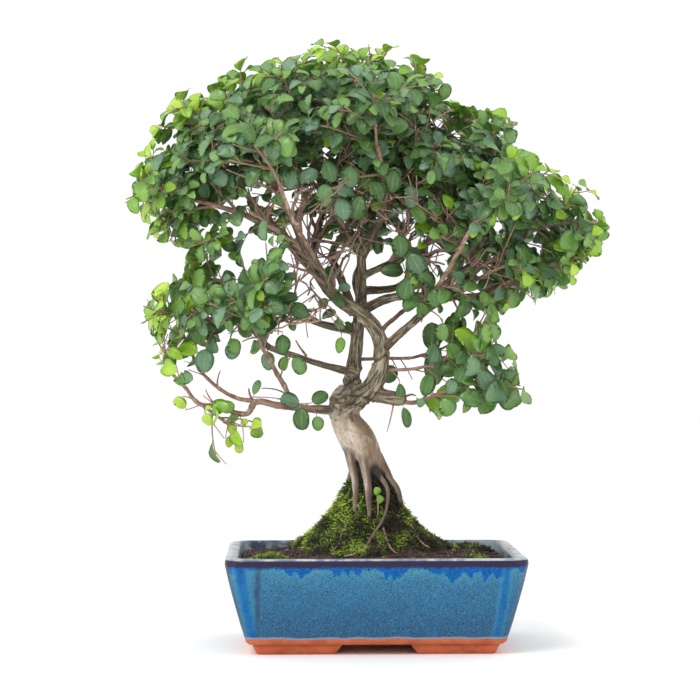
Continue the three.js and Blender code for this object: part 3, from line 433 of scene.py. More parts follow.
limbs = rowsUnder(("name", "leafyFrom", "tip", "points"), [
    ("serpentine", 12, None, [(-28, -3, 197, 10), (-17, -6, 206, 9.2), (-6, -8, 214, 8), (1, -8, 228, 7.2),
     (2.5, -7, 244, 6.6), (0, -7, 258, 6.4), (-7, -8, 269, 6.3), (-18, -9, 278, 6.2), (-30, -8, 286, 5.8),
     (-41, -7, 296, 5.2), (-49, -6, 307, 4.6), (-57, -6, 320, 4), (-67, -7, 332, 3.5), (-82, -9, 343, 3),
     (-98, -12, 352, 2.6), (-114, -14, 359, 2.2), (-133, -15, 365, 1.9), (-152, -14, 370, 1.5)]),
    ("farLeftFork", 1, None, [(-114, -14, 359, 2), (-132, 6, 366, 1.8), (-148, 22, 373, 1.5)]),
    ("upperLeft", 1, None, [(-82, -9, 343, 2.6), (-100, 4, 364, 2.3), (-118, 10, 386, 2),
     (-132, 12, 408, 1.6)]),
    ("upright", None, None, [(-26, 2, 198, 9), (-22, 4, 214, 7.6), (-20, 6, 230, 6.4), (-18, 8, 250, 5.8),
     (-16, 10, 268, 5.4), (-14, 10, 288, 5.1), (-14, 9, 305, 4.6), (-13.5, 8, 320, 4),
     (-14, 7, 331, 3.4)]),
    ("crownLeft", 3, None, [(-14, 7, 327, 3.2), (-24, 6, 341, 2.9), (-34, 6, 356, 2.6), (-44, 8, 376, 2.3),
     (-52, 10, 401, 2), (-56, 10, 424, 1.6)]),
    ("crownRight", 4, None, [(-13, 7, 327, 3.2), (-5, 4, 341, 3), (3, 1, 356, 2.8), (9, -2, 369, 2.6),
     (15, -4, 384, 2.3), (22, -4, 406, 2), (25, -2, 428, 1.6)]),
    ("crownLeftFork", 1, None, [(-44, 8, 376, 2.2), (-63, 16, 396, 2), (-80, 22, 414, 1.8),
     (-94, 26, 430, 1.5)]),
    ("crownRightFork", 1, None, [(9, -2, 369, 2.4), (24, 14, 388, 2.1), (37, 26, 404, 1.8),
     (46, 34, 418, 1.5)]),
    ("crownMiddle", 2, None, [(-44, 8, 376, 2.1), (-33, 2, 396, 1.9), (-24, -4, 419, 1.7),
     (-18, -8, 442, 1.4)]),
    ("lowLeft", 5, (-178, -26, 248), [(-34, -4, 196, 4.4), (-60, -10, 197, 3.4), (-84, -14, 200, 3),
     (-102, -16, 203, 2.6), (-110, -17, 193, 2.3), (-134, -20, 199, 2), (-149, -22, 202, 1.8),
     (-160, -22, 214, 1.5), (-172, -22, 227, 1.3)]),
    ("lowLeftFork", 3, (-164, 2, 262), [(-102, -16, 203, 2), (-120, -14, 207, 1.7), (-134, -12, 215, 1.5),
     (-150, -8, 230, 1.3)]),
    ("lowLeftRiser", 2, (-110, -60, 282), [(-72, -12, 199, 2.2), (-79, -18, 217, 2.1),
     (-88, -28, 233, 1.9), (-97, -38, 249, 1.5)]),
    ("midLeft", 5, (-184, -22, 280), [(-20, 2, 227, 3.6), (-48, -4, 234, 2.9), (-69, -10, 241, 2.6),
     (-90, -14, 248, 2.4), (-99, -16, 256, 2.2), (-111, -18, 266, 1.9), (-136, -20, 270, 1.7),
     (-157, -20, 273, 1.4)]),
    ("midLeftFork", 1, None, [(-97, -15, 254, 1.9), (-88, -30, 271, 1.7), (-84, -46, 287, 1.5)]),
    ("backLeft", 3, None, [(-17, 9, 262, 3.8), (-44, 18, 267, 3.2), (-60, 28, 273, 2.8),
     (-82, 42, 281, 2.3), (-108, 52, 291, 1.8), (-128, 58, 303, 1.4)]),
    ("leftRiser", 2, None, [(-58, -6, 321, 3), (-66, -10, 340, 2.8), (-72, -14, 354, 2.5),
     (-80, -18, 369, 2.2), (-90, -24, 386, 1.9), (-102, -30, 406, 1.5)]),
    ("innerRiser", 3, None, [(-47, -4, 303, 3.3), (-53, 8, 323, 3), (-53, 16, 341, 2.7),
     (-47, 24, 357, 2.4), (-46, 34, 378, 2), (-52, 46, 402, 1.6)]),
    ("backRiser", 3, None, [(-22, -2, 283, 3.8), (-33, 18, 312, 3.4), (-38, 30, 328, 3),
     (-28, 40, 346, 2.6), (-18, 50, 370, 2.2), (-12, 60, 398, 1.7)]),
    ("backSweepLeft", 2, None, [(-50, -4, 308, 2.8), (-64, 20, 322, 2.6), (-78, 42, 340, 2.2),
     (-94, 58, 360, 1.8), (-112, 68, 380, 1.4)]),
    ("midRight", 4, (182, -16, 352), [(2, -6, 244, 4), (18, -12, 260, 3.6), (33, -16, 273, 3.3),
     (44, -18, 282, 3), (62, -20, 292, 2.7), (75, -22, 300, 2.5), (80, -22, 311, 2.3),
     (93, -22, 320, 2.1),
     (110, -20, 331, 1.8), (126, -16, 344, 1.5)]),
    ("slimRight", 2, None, [(0, -4, 260, 2), (18, 12, 276, 1.8), (34, 24, 287, 1.6), (55, 38, 301, 1.4),
     (80, 50, 316, 1.2)]),
    ("crossRight", 4, None, [(-15, 9, 277, 4.4), (0, 3, 286, 4.1), (16, -4, 291, 3.8), (38, -8, 291, 3.2),
     (60, -6, 290, 2.8), (86, -4, 292, 2.3), (112, -6, 301, 1.8), (134, -8, 314, 1.4)]),
    ("backRight", 4, None, [(-13, 10, 296, 3.8), (2, 20, 297, 3.5), (20, 32, 301, 3.1), (36, 44, 318, 2.7),
     (44, 52, 338, 2.3), (54, 58, 360, 1.9), (68, 62, 384, 1.5)]),
    ("upperRight", 3, None, [(-13, 8, 308, 3.2), (4, 0, 316, 2.9), (22, -10, 325, 2.6),
     (44, -18, 336, 2.2), (70, -26, 349, 1.8), (96, -30, 364, 1.4)]),
    ("shoulderFork", 1, None, [(70, -26, 349, 1.8), (85, -8, 368, 1.6), (99, 8, 386, 1.4)]),
    ("farRightFork", 1, None, [(86, -4, 292, 2.1), (104, 14, 302, 1.8), (124, 26, 312, 1.5)]),
    ("lowRight", 3, (104, -20, 216), [(14, -10, 204, 2.2), (28, -13, 202, 1.9), (38, -15, 205, 1.7),
     (52, -16, 210, 1.5), (70, -17, 216, 1.3), (88, -16, 223, 1.1)]),
    ("cutStump", None, None, [(-8, -6, 211, 7), (6, -9, 207, 6.2), (18, -10.5, 205, 5.7),
     (22, -11, 204.5, 4.6)]),
    ("slimRightLow", 2, (84, 14, 258), [(-18, 8, 238, 1.5), (8, 16, 239, 1.4), (32, 14, 240, 1.3),
     (54, 8, 247, 1.1)]),
    ("slimRightMiddle", 2, (86, -32, 244), [(2, -7, 229, 1.5), (34, -12, 231, 1.3), (58, -18, 240, 1.1)]),
    ("backMiddle", 3, None, [(-15, 9, 290, 3.4), (-18, 32, 306, 3), (-10, 54, 326, 2.5), (2, 72, 346, 2),
     (12, 86, 368, 1.5)]),
    ("frontLeft", 2, None, [(-38, -7, 293, 3), (-48, -30, 312, 2.6), (-62, -52, 334, 2.2),
     (-74, -70, 356, 1.8), (-82, -84, 378, 1.4)]),
    ("frontMiddle", 2, None, [(2, 1, 354, 2.6), (5, -26, 372, 2.2), (2, -50, 392, 1.8),
     (-4, -68, 414, 1.4)]),
    ("frontRight", 2, None, [(36, -17, 277, 2.4), (50, -42, 302, 2.1), (64, -62, 328, 1.8),
     (76, -76, 352, 1.4)]),
])

roots = [
    [(-26, -6, 172, 5), (-23.5, -11, 154, 3.8), (-20, -14, 139, 3.2), (-19, -17, 126, 2.7),
     (-20, -20, 112, 1.8)],
    [(-15, -8, 166, 5), (-12, -14, 150, 4), (-9.5, -18, 137, 3.5), (-8.5, -22, 123, 2.8),
     (-8, -25, 108, 1.8)],
    [(-2, 0, 158, 5), (3, -4, 147, 3.2), (10, -6, 138, 2.7), (16, -7, 130, 2.5), (19, -8, 118, 2)],
    [(-6, -8, 146, 3), (2, -15, 139, 2.8), (7, -20, 130, 2.6), (6, -27, 115, 2.1), (1, -36, 104, 1.8),
     (-8, -45, 92, 1.5), (-15, -52, 79, 1.2)],
    [(-15, 4, 160, 6), (-21, 8, 142, 4.2), (-28, 10, 120, 3), (-39, 9, 101, 2.5), (-51, 7, 85, 1.8)],
    [(-8, 8, 160, 6), (-8, 17, 142, 4), (-6, 24, 124, 3.2), (-4, 33, 104, 2.4), (-3, 42, 86, 1.7)],
    [(-1, 6, 158, 5), (9, 12, 140, 3.6), (17, 15, 122, 2.8), (28, 18, 100, 2)],
]

pads = rowsUnder(("name", "centre", "radii", "sprays", "leafScale"), [
    ("top", (-40, 0, 448), (82, 78, 46), 2, 1),
    ("upper left", (-122, 0, 410), (62, 68, 48), 0, 1),
    ("far left", (-168, -6, 364), (34, 44, 42), 0, 1),
    ("upper right", (42, 0, 416), (60, 74, 46), 1, 1),
    ("right shoulder", (98, 0, 368), (60, 68, 44), 1, 1),
    ("far right", (148, -4, 340), (40, 44, 32), 0, 1),
    ("under the right shoulder", (92, -4, 304), (64, 60, 28), 1, 1.05),
    ("lower left", (-122, -10, 280), (62, 56, 36), 0, 1.05),
    ("low on the right", (68, -6, 228), (46, 36, 32), 0, 1.3),
    ("low on the left", (-130, -18, 214), (48, 28, 24), 0, 1.1),
])


# The ground that the tree stands on

soilLevel = 70
mound = {"x": -8, "y": 2, "height": 66, "plateau": 18, "softness": 10, "falloff": 28, "depthFactor": 1.25}
moss = {"thickness": 4.5, "reach": 66, "margin": 16, "fade": 24, "edge": 1.6}
mossCushions = rowsUnder(("x", "y", "length", "width", "height"), [
    (-92, -46, 30, 18, 6),
    (84, 34, 34, 20, 6),
    (78, -50, 24, 15, 5),
])


def moundDistance(x, y):
    return np.hypot(x - mound["x"], (y - mound["y"]) * mound["depthFactor"])


def groundHeight(x, y):
    fall = np.maximum(0, np.hypot(moundDistance(x, y), mound["softness"]) - mound["plateau"])
    lumps = 0.9 * np.sin(x * 0.21 + 1) * np.sin(y * 0.27) + 0.7 * np.sin(x * 0.11 - y * 0.16)
    return soilLevel + mound["height"] * np.exp(-fall / mound["falloff"]) + lumps


def soilHeight(x, y):
    cover = held((moss["reach"] + moss["margin"] - moundDistance(x, y)) / moss["fade"])
    return groundHeight(x, y) - moss["thickness"] * cover


# Growth: the leaders, the twigs and the key leaves come out where the solids of the frame have them. The
# draws and tests keep one order, so a new value here moves everything that grows after it.

crownMiddle = vec(-10, 0, 320)  # leaves turn their faces away from here
outerTips = [(-122, -24, 182), (-4, 4, 480), (98, -8, 412), (-182, 4, 350)]
innerTips = [  # of the sprays that fill the crown
    (48, -46, 414), (1, 26, 412), (63, 17, 369), (100, 20, 331), (-98, 11, 291), (-91, -2, 399),
    (-20, 25, 352),
    (8, -18, 424)]
crownOutline = [  # x, z: what the crown covers when it is seen from the front
    (-82, 504), (-3, 504), (38, 488), (64, 470), (80, 455), (112, 446), (122, 430), (118, 414),
    (124, 402),
    (156, 386), (176, 377), (196, 354), (190, 332), (168, 308), (152, 290), (126, 275), (92, 264),
    (116, 246),
    (117, 198), (62, 186), (-60, 186), (-104, 170), (-124, 150), (-140, 158), (-142, 190), (-187, 204),
    (-180, 252), (-199, 268), (-190, 288), (-180, 303), (-164, 311), (-164, 329), (-202, 340),
    (-197, 354), (-211, 370),
    (-205, 394), (-200, 412), (-190, 440), (-178, 453), (-154, 464), (-138, 480), (-106, 496)]
sprays = {
    "seed": 20260,
    "spacing": 40,
    "shell": (0.7, 0.98),
    "undersideLimit": -0.65,
    "tries": 900,
    "endLength": 44,
    "shortestEnd": 20,
    "edgeRoom": 10,
    "leaderRadius": (1.7, 1),
    "leaderSteps": 2,
    "bends": (0, 9, 18, 28),
    "leafyLength": 70,
    "sideTwigs": 3,
    "twigLength": (38, 24),
    "twigRadius": (0.75, 0.65),
    "twigSwings": (0, 0.5, -0.5, 1, -1, 1.6, -1.6),
    "woodRoom": 0.6,
    "leafRoom": 0.4,
}
budCost = {"turn": 34, "shortest": 30, "short": 40}
leafShape = {
    "length": (16, 22),
    "slimness": (0.62, 0.74),
    "middles": (0.33, 0.68),
    "swings": (0, 0.6, -0.6, 1.3, -1.3, 2.2, -2.2),
}
sprout = {"x": -1.5, "y": -23, "height": 17, "sunk": 3, "radius": 0.8, "leafScale": 0.5, "leanY": -4}

woodRoomFor = 16000
grown = {  # all wood as thick lines, all leaves as balls
    "a": np.zeros((woodRoomFor, 3)), "b": np.zeros((woodRoomFor, 3)), "radius": np.zeros(woodRoomFor),
    "owner": np.zeros(woodRoomFor, dtype=int), "wood": 0,
    "ball": np.zeros((60000, 3)), "ballRadius": np.zeros(60000), "balls": 0,
}


def withinCrown(place):
    inside = False
    for i, (x, z) in enumerate(crownOutline):
        lastX, lastZ = crownOutline[i - 1]
        between = (z > place[2]) != (lastZ > place[2])
        if between and place[0] < x + (place[2] - z) / (lastZ - z) * (lastX - x):
            inside = not inside
    return inside


def lineDistances(a, b, c, d):  # from the line a-b to each of the lines c-d
    first = b - a
    second = d - c
    apart = a - c
    ff = first @ first
    ss = np.einsum("ij,ij->i", second, second)
    fs = second @ first
    fa = apart @ first
    sa = np.einsum("ij,ij->i", second, apart)
    crossed = ff * ss - fs * fs
    with np.errstate(divide="ignore", invalid="ignore"):
        s = np.where(crossed > 1e-9, held((fs * sa - fa * ss) / crossed), 0)
        t = np.where(ss > 1e-9, (fs * s + sa) / ss, 0)
        outside = (t < 0) | (t > 1)
        t = held(t)
        if ff > 1e-9:
            s = np.where(outside, held((t * fs - fa) / ff), s)
        else:
            s = np.where(outside, 0, s)
    gap = apart + first[None, :] * s[:, None] - second * t[:, None]
    return np.sqrt(np.einsum("ij,ij->i", gap, gap))


def addWood(points, owner):
    for low, high in zip(points[:-1], points[1:]):
        i = grown["wood"]
        piece = {"a": low[:3], "b": high[:3], "radius": max(low[3], high[3]), "owner": owner}
        for key, value in piece.items():
            grown[key][i] = value
        grown["wood"] = i + 1


def addBall(place, radius):
    grown["ball"][grown["balls"]] = place
    grown["ballRadius"][grown["balls"]] = radius
    grown["balls"] += 1


def woodIsClear(points, owner, origin=None, room=sprays["woodRoom"]):
    n = grown["wood"]
    a, b, radius = grown["a"][:n], grown["b"][:n], grown["radius"][:n]
    counts = grown["owner"][:n] != owner
    if origin is not None:
        counts &= lineDistances(origin, origin, a, b) >= 0.1
    for low, high in zip(points[:-1], points[1:]):
        near = lineDistances(low[:3], high[:3], a, b) < max(low[3], high[3]) + radius + room
        if np.any(near & counts):
            return False
    return True


def ballsAreClear(balls, owner, room=sprays["leafRoom"]):
    n = grown["wood"]
    counts = grown["owner"][:n] != owner
    for place, radius in balls:
        distances = lineDistances(place, place, grown["a"][:n], grown["b"][:n])
        near = distances < radius + room + grown["radius"][:n]
        if np.any(near & counts):
            return False
        others = grown["ball"][:grown["balls"]] - place
        gap = np.sqrt(np.einsum("ij,ij->i", others, others))
        if np.any(gap < radius + room + grown["ballRadius"][:grown["balls"]]):
            return False
    return True


def padDepth(pad, tip):
    return math.sqrt(sum(((tip[i] - pad["centre"][i]) / pad["radii"][i]) ** 2 for i in range(3)))


def leafScaleAt(place):
    return min(pads, key=lambda pad: padDepth(pad, place))["leafScale"]


def budPlaces():
    buds = []
    for limb in limbs:
        points = limb["points"]
        for index in range(limb.get("leafyFrom", len(points)), len(points)):
            at, before = (np.array(points[i][:3], dtype=float) for i in (index, index - 1))
            buds.append({"at": at, "along": unit(at - before), "radius": points[index][3],
                         "last": index == len(points) - 1, "tip": limb.get("tip"), "taken": False})
    return buds


def sprayTips(buds):
    draw = randomStream(sprays["seed"])
    loose = lambda places: [{"at": np.array(place, dtype=float), "bud": None} for place in places]
    tips = []
    for bud in (bud for bud in buds if bud["last"]):
        heading = unit(bud["along"] + unit(bud["at"] - crownMiddle))
        length = sprays["endLength"]
        room = sprays["edgeRoom"]
        while length > sprays["shortestEnd"] and not withinCrown(bud["at"] + heading * (length + room)):
            length -= 2
        tips.append({"at": np.array(bud["tip"] or bud["at"] + heading * length, dtype=float), "bud": bud})
    tips += loose(outerTips)
    for pad in pads:
        found = 0
        tries = 0
        while tries < sprays["tries"] and found < pad["sprays"]:
            tries += 1
            height = 2 * next(draw) - 1
            turn = turnFull * next(draw)
            shell = between(sprays["shell"], next(draw))
            flat = math.sqrt(1 - height * height)
            way = vec(flat * math.cos(turn), flat * math.sin(turn), height)
            at = np.array(pad["centre"]) + np.array(pad["radii"]) * shell * way
            free = height >= sprays["undersideLimit"] and withinCrown(at)
            free = free and all(other is pad or padDepth(other, at) >= sprays["shell"][0] for other in pads)
            if free and all(size(other["at"] - at) >= sprays["spacing"] for other in tips):
                tips += loose([at])
                found += 1
    return tips + loose(innerTips)


def pickBud(buds, tip):
    def cost(bud):
        way = tip - bud["at"]
        distance = size(way)
        turn = 1 - (way @ bud["along"]) / distance
        return distance + budCost["turn"] * turn + (budCost["short"] if distance < budCost["shortest"] else 0)
    return min((bud for bud in buds if not bud["taken"] and not bud["last"]), key=cost)


def onShoot(points, share):
    stretch = min(len(points) - 2, int(share * (len(points) - 1)))
    low = np.array(points[stretch][:3])
    high = np.array(points[stretch + 1][:3])
    return low + (high - low) * (share * (len(points) - 1) - stretch), unit(high - low)


def growLeader(tip, buds, index):
    bud = tip["bud"] or pickBud(buds, tip["at"])
    way = tip["at"] - bud["at"]
    distance = size(way)
    heading = unit(bud["along"] * 0.4 + way / distance + up * 0.25)
    sideways = unit(cross(way, up))
    lifted = unit(cross(sideways, way))
    steps = sprays["leaderSteps"]
    for bend in sprays["bends"]:
        for turn in range(8 if bend else 1):
            angle = turn * math.pi / 4
            control = (bud["at"] + heading * (distance * 0.45) + sideways * (bend * math.sin(angle))
                       + lifted * (bend * math.cos(angle)))
            thick = min(sprays["leaderRadius"][0], bud["radius"] * 0.9)

            def onBend(t):
                place = bud["at"] * (1 - t) ** 2 + control * (2 * t * (1 - t)) + tip["at"] * t * t
                return np.array([*place, between((thick, sprays["leaderRadius"][1]), t)])

            points = [onBend(i / steps) for i in range(steps + 1)]
            if not woodIsClear(points[:2], index, bud["at"]) or not woodIsClear(points[1:], index):
                continue
            bud["taken"] = True
            addWood(points, index)
            return {"points": points, "index": index, "leafScale": leafScaleAt(tip["at"]),
                    "path": np.array([onBend(i / 12) for i in range(13)])}
    return None


def growSideTwigs(leader):
    draw = randomStream(sprays["seed"] + 977 * (leader["index"] + 1))
    twigs = []
    phase = next(draw) * 2 * math.pi
    reach = size(leader["points"][0][:3] - leader["points"][-1][:3])
    firstShare = max(0.35, 1 - sprays["leafyLength"] / reach)
    for i in range(sprays["sideTwigs"]):
        share = (i + 0.35 + 0.3 * next(draw)) / sprays["sideTwigs"]
        t = firstShare + (0.92 - firstShare) * share
        base, along = onShoot(leader["points"], t)
        normal = unit(cross(along, up))
        binormal = cross(along, normal)
        length = between(sprays["twigLength"], share) * (0.85 + 0.3 * next(draw))
        lean = 0.5 + 0.25 * next(draw)
        for swing in sprays["twigSwings"]:
            turn = phase + i * 2.4 + swing
            heading = unit(along * lean + normal * math.cos(turn) + binormal * math.sin(turn))
            end = base + heading * length + along * (length * 0.18) + up * (length * 0.1)
            points = [np.array([*base, sprays["twigRadius"][0]]), np.array([*end, sprays["twigRadius"][1]])]
            if not withinCrown(end) or not woodIsClear(points, leader["index"]):
                continue
            twigs.append({"points": points, "share": t})
            addWood(points, leader["index"])
            break
    return twigs


def leafIfClear(base, heading, normal, length, width, middles, radius, isClear):
    normal = unit(normal - heading * (normal @ heading))
    balls = [(base + heading * (part * length), radius) for part in middles]
    if not isClear(base + heading * length, balls):
        return None
    for place, room in balls:
        addBall(place, room)
    return {"base": base, "heading": heading, "normal": normal, "length": length, "width": width}


def growLeaf(points, share, side, shoot, draw):
    owner = shoot["index"]
    base, along = onShoot(points, share)
    outwards = unit(base - crownMiddle)
    outwards[2] = max(outwards[2], -0.1)
    outwards = unit(outwards)
    length = between(leafShape["length"], next(draw)) * shoot["leafScale"]
    width = length * between(leafShape["slimness"], next(draw))
    roll = 2 * next(draw) - 1
    spread = 0.25 if side == 0 else 1.2 + 0.3 * next(draw)
    for swing in leafShape["swings"]:
        across = turned(unit(cross(outwards, along)), along, 0.4 * roll + swing) * (side or 1)
        heading = along + across * spread
        heading = unit(heading - outwards * (0.65 * (heading @ outwards)))
        leaf = leafIfClear(base, heading, outwards + up * 0.7 + across * (0.3 * roll), length, width,
                           leafShape["middles"], 0.5 * width, lambda end, balls:
                           (owner < 0 or withinCrown(end)) and ballsAreClear(balls, owner))
        if leaf:
            return leaf
    return None


def growKeyLeaves(leader, twigs):
    draw = randomStream(sprays["seed"] + 3571 * (leader["index"] + 1))
    leaves = []
    for i, points in enumerate([leader["points"], *[twig["points"] for twig in twigs]]):
        leaves.append((i, 1.0, growLeaf(points, 1, 0, leader, draw)))
        if i < 2:
            share = 0.58 if i else 0.8
            leaves.append((i, share, growLeaf(points, share, -1 if i else 1, leader, draw)))
    return [leaf for leaf in leaves if leaf[2]]


def growSprout():
    ground = groundHeight(sprout["x"], sprout["y"])
    points = [
        np.array([sprout["x"], sprout["y"], ground - sprout["sunk"], sprout["radius"]]),
        np.array([sprout["x"], sprout["y"] + sprout["leanY"], ground + sprout["height"], sprout["radius"]]),
    ]
    shoot = {"index": -2, "leafScale": sprout["leafScale"]}
    draw = randomStream(sprays["seed"])
    addWood(points, shoot["index"])
    leaves = []
    for share, side in ((1, 0), (0.72, 1), (0.62, -1)):
        leaves.append((0, share, growLeaf(points, share, side, shoot, draw)))
    return points, [leaf for leaf in leaves if leaf[2]]


def growKeyShoots():
    for limb in limbs:
        addWood(limb["points"], -1)
    for points in (bole["points"], *roots):
        addWood(points, -1)
    buds = budPlaces()
    leaders = [growLeader(tip, buds, index) for index, tip in enumerate(sprayTips(buds))]
    leaders = [leader for leader in leaders if leader]
    twigs = [growSideTwigs(leader) for leader in leaders]
    return [{"leader": leader, "twigs": side, "leaves": growKeyLeaves(leader, side)}
            for leader, side in zip(leaders, twigs)]


# The wood. Thick wood is one remeshed skin, so that forks and roots flow together; thin limbs are tubes.

wood = {
    "voxel": 1.05,
    "thinFrom": 2.5,  # radius below which a limb is a tube of its own
    "step": 2.0,
    "twist": 0.022,  # turns of the bole's ridges, in radians for each mm
    "ridge": 1.15,  # depth of the bole's ridges
    "furrow": 0.85,  # depth of the furrows on the upper limbs
    "gnarl": 1.9,
    "gnarlAt": (-26, -8, 204),
    "gnarlReach": 17,
    "hollowAt": (-3, -12, 142),  # the gap between the bole's foot and its right root, dark with painted shade
    "hollowDepth": 4.5,
    "belly": [(-32, 167), (-18, 157), (-8, 151.5), (-1.7, 147.5), (7, 146.5), (13, 151)],  # its lower edge
    "bellyDepth": 2.2,  # how far the wood under that edge lies back
    "darkRoot": 3,  # the root in front of the hollow, which is thin and dark
}
# x, z on the front of the wood: folds of the neck and cuts on the winding limb
seams = rowsUnder(("line", "depth", "width"), [
    ([(-33, 210), (-26, 218), (-15.5, 223), (-10.5, 229)], 2.2, 1.5),
    ([(-36, 204), (-26, 208.5), (-15.5, 208), (-7, 204)], 2.0, 1.3),
    ([(-30, 199), (-22, 201), (-14, 199)], 1.1, 1.0),
    ([(-5.5, 236.5), (1.2, 238.5), (7, 242.5)], 1.7, 1.1),
    ([(-16, 214), (-8, 219), (-1, 229)], 1.3, 1.2),
])
knots = [(-32.2, 202.3, 1.9), (-26.8, 205.2, 1.6), (-32.2, 196, 1.4), (-26, 200.4, 1.2), (-20, 273, 2.4),
         (-8, 216, 1.3)]
deadTwigs = [  # x, y, z, radius
    [(13, -11, 204, 0.8), (11.5, -12, 196, 0.65), (9.5, -13, 187, 0.5), (7, -13, 178, 0.35)],
    [(-126, 10, 400, 1.6), (-131, 8, 412, 1.5), (-134, 7, 421, 1.4)],
    [(-104, -15, 203, 1.2), (-107, -20, 209, 1.0), (-108, -23, 214, 0.8)],
    [(20, -11, 206, 1.2), (27, -13, 209, 0.9), (31, -15, 208, 0.5)],
    [(60, -19, 291, 1.2), (63, -25, 284, 0.9), (65, -29, 279, 0.6)],
    [(-60, -7, 241, 1.2), (-66, -12, 249, 0.9), (-69, -16, 254, 0.6)],
]
surfaceRoots = [  # thin roots that show on the moss
    [(-2, -30, 112, 1.1), (-9, -41, 99, 1.0), (-12, -49, 88, 0.9), (-22, -57, 79, 0.8), (-30, -63, 74, 0.6)],
    [(3, -28, 112, 1.2), (5, -37, 101, 1.0), (8, -46, 88, 0.8), (13, -53, 79, 0.6)],
    [(-24, -22, 112, 1.0), (-31, -29, 103, 0.9), (-33, -38, 95, 0.8), (-40, -46, 85, 0.6)],
    [(22, -12, 112, 1.2), (29, -17, 101, 1.0), (33, -27, 92, 0.8), (41, -33, 84, 0.6)],
]


def boleRelief(path, angles):
    index = path[:, 4:5]
    return 1 + 0.08 * np.sin(2 * angles + 0.7 * index) + 0.06 * np.sin(5 * angles - 0.9 * index)


def limbRelief(path, angles):
    spots = path[:, None, :3] + 3 * np.stack([np.cos(angles), np.sin(angles), 0 * angles], 1)[None]
    bumps = softNoise(spots.reshape(-1, 3), 5.0, 31, 2).reshape(len(path), len(angles))
    return 1 + 0.13 * bumps


def roughShape(parts):  # an object in mm, to run modifiers on
    begins = np.cumsum([0] + [len(p["v"]) for p in parts])
    mesh = bpy.data.meshes.new("rough")
    mesh.from_pydata(np.concatenate([p["v"] for p in parts]).tolist(), [],
                     [face for p, begin in zip(parts, begins) for key in ("quads", "tris") if key in p
                      for face in (p[key] + begin).tolist()])
    return placed("rough", mesh)


def modified(rough, *helpers):  # vertices, normals and face corners of what its modifiers make
    made = bpy.data.meshes.new_from_object(rough.evaluated_get(bpy.context.evaluated_depsgraph_get()))
    arrays = []
    for items, key, width, kind in ((made.vertices, "co", 3, float), (made.vertices, "normal", 3, float),
                                    (made.loops, "vertex_index", 1, np.int32)):
        values = np.zeros(len(items) * width, dtype=kind)
        items.foreach_get(key, values)
        arrays.append(values)
    for mesh in (made, rough.data, *[helper.data for helper in helpers]):
        bpy.data.meshes.remove(mesh)
    return arrays


def remeshed(parts, voxel, smoothing):  # one skin round all the parts, as vertices, normals and quads in mm
    rough = roughShape(parts)
    remesh = rough.modifiers.new("remesh", "REMESH")
    remesh.mode = "VOXEL"
    remesh.voxel_size = voxel
    smooth = rough.modifiers.new("smooth", "SMOOTH")
    smooth.factor = 0.5
    smooth.iterations = smoothing
    verts, normals, corners = modified(rough)
    return verts.reshape(-1, 3), normals.reshape(-1, 3), corners.reshape(-1, 4)


def alongWood(verts, lines):  # for every vertex: place round and along its nearest limb, and which limb
    samples = []
    for number, line in enumerate(lines):
        tangents, normals, across = pathFrames(line)
        run = runAlong(line)
        samples.append(np.column_stack([line[:, :4], tangents, normals, across, run,
                                        np.full(len(line), number)]))
    samples = np.concatenate(samples)
    tree = KDTree(len(samples))
    for i, place in enumerate(samples[:, :3]):
        tree.insert(place, i)
    tree.balance()
    nearest = np.empty(len(verts), dtype=int)
    for i, place in enumerate(verts):
        found = tree.find_n(place, 4)
        nearest[i] = min(found, key=lambda f: f[2] - 0.8 * samples[f[1], 3])[1]
    s = samples[nearest]
    away = verts - s[:, :3]
    dot = lambda a, b: np.einsum("ij,ij->i", a, b)
    run = s[:, 13] + dot(away, s[:, 4:7])
    return dot(away, s[:, 7:10]), dot(away, s[:, 10:13]), run, s[:, 14].astype(int), s[:, 3]


def seamDepth(verts, normals):  # how far the folds and knots go in, and how much painted shade darkens them
    flat = verts[:, [0, 2]]
    depth = np.zeros(len(verts))
    dark = np.zeros(len(verts))
    front = held((0.45 - normals[:, 1]) / 0.4)
    for seam in seams:
        nearest = np.full(len(verts), 99.0)
        for one, two in zip(seam["line"][:-1], seam["line"][1:]):
            run = np.array(two) - np.array(one)
            t = held((flat - np.array(one)) @ run / (run @ run))
            nearest = np.minimum(nearest, sizes(flat - np.array(one) - t[:, None] * run))
        cut = np.exp(-(nearest / seam["width"]) ** 2)
        lip = np.exp(-((nearest / seam["width"] - 2.2) / 0.8) ** 2)
        depth += seam["depth"] * cut - 0.45 * seam["depth"] * lip
        dark = np.maximum(dark, cut)
    for x, z, width in knots:
        nearest = sizes(flat - np.array([x, z])) / width
        cut = np.exp(-nearest ** 2)
        depth += 1.1 * width * cut - 0.5 * width * np.exp(-((nearest - 1.7) / 0.6) ** 2)
        dark = np.maximum(dark, cut)
    near = front * (np.abs(verts[:, 1] + 6) < 16)
    return depth * near, dark * near


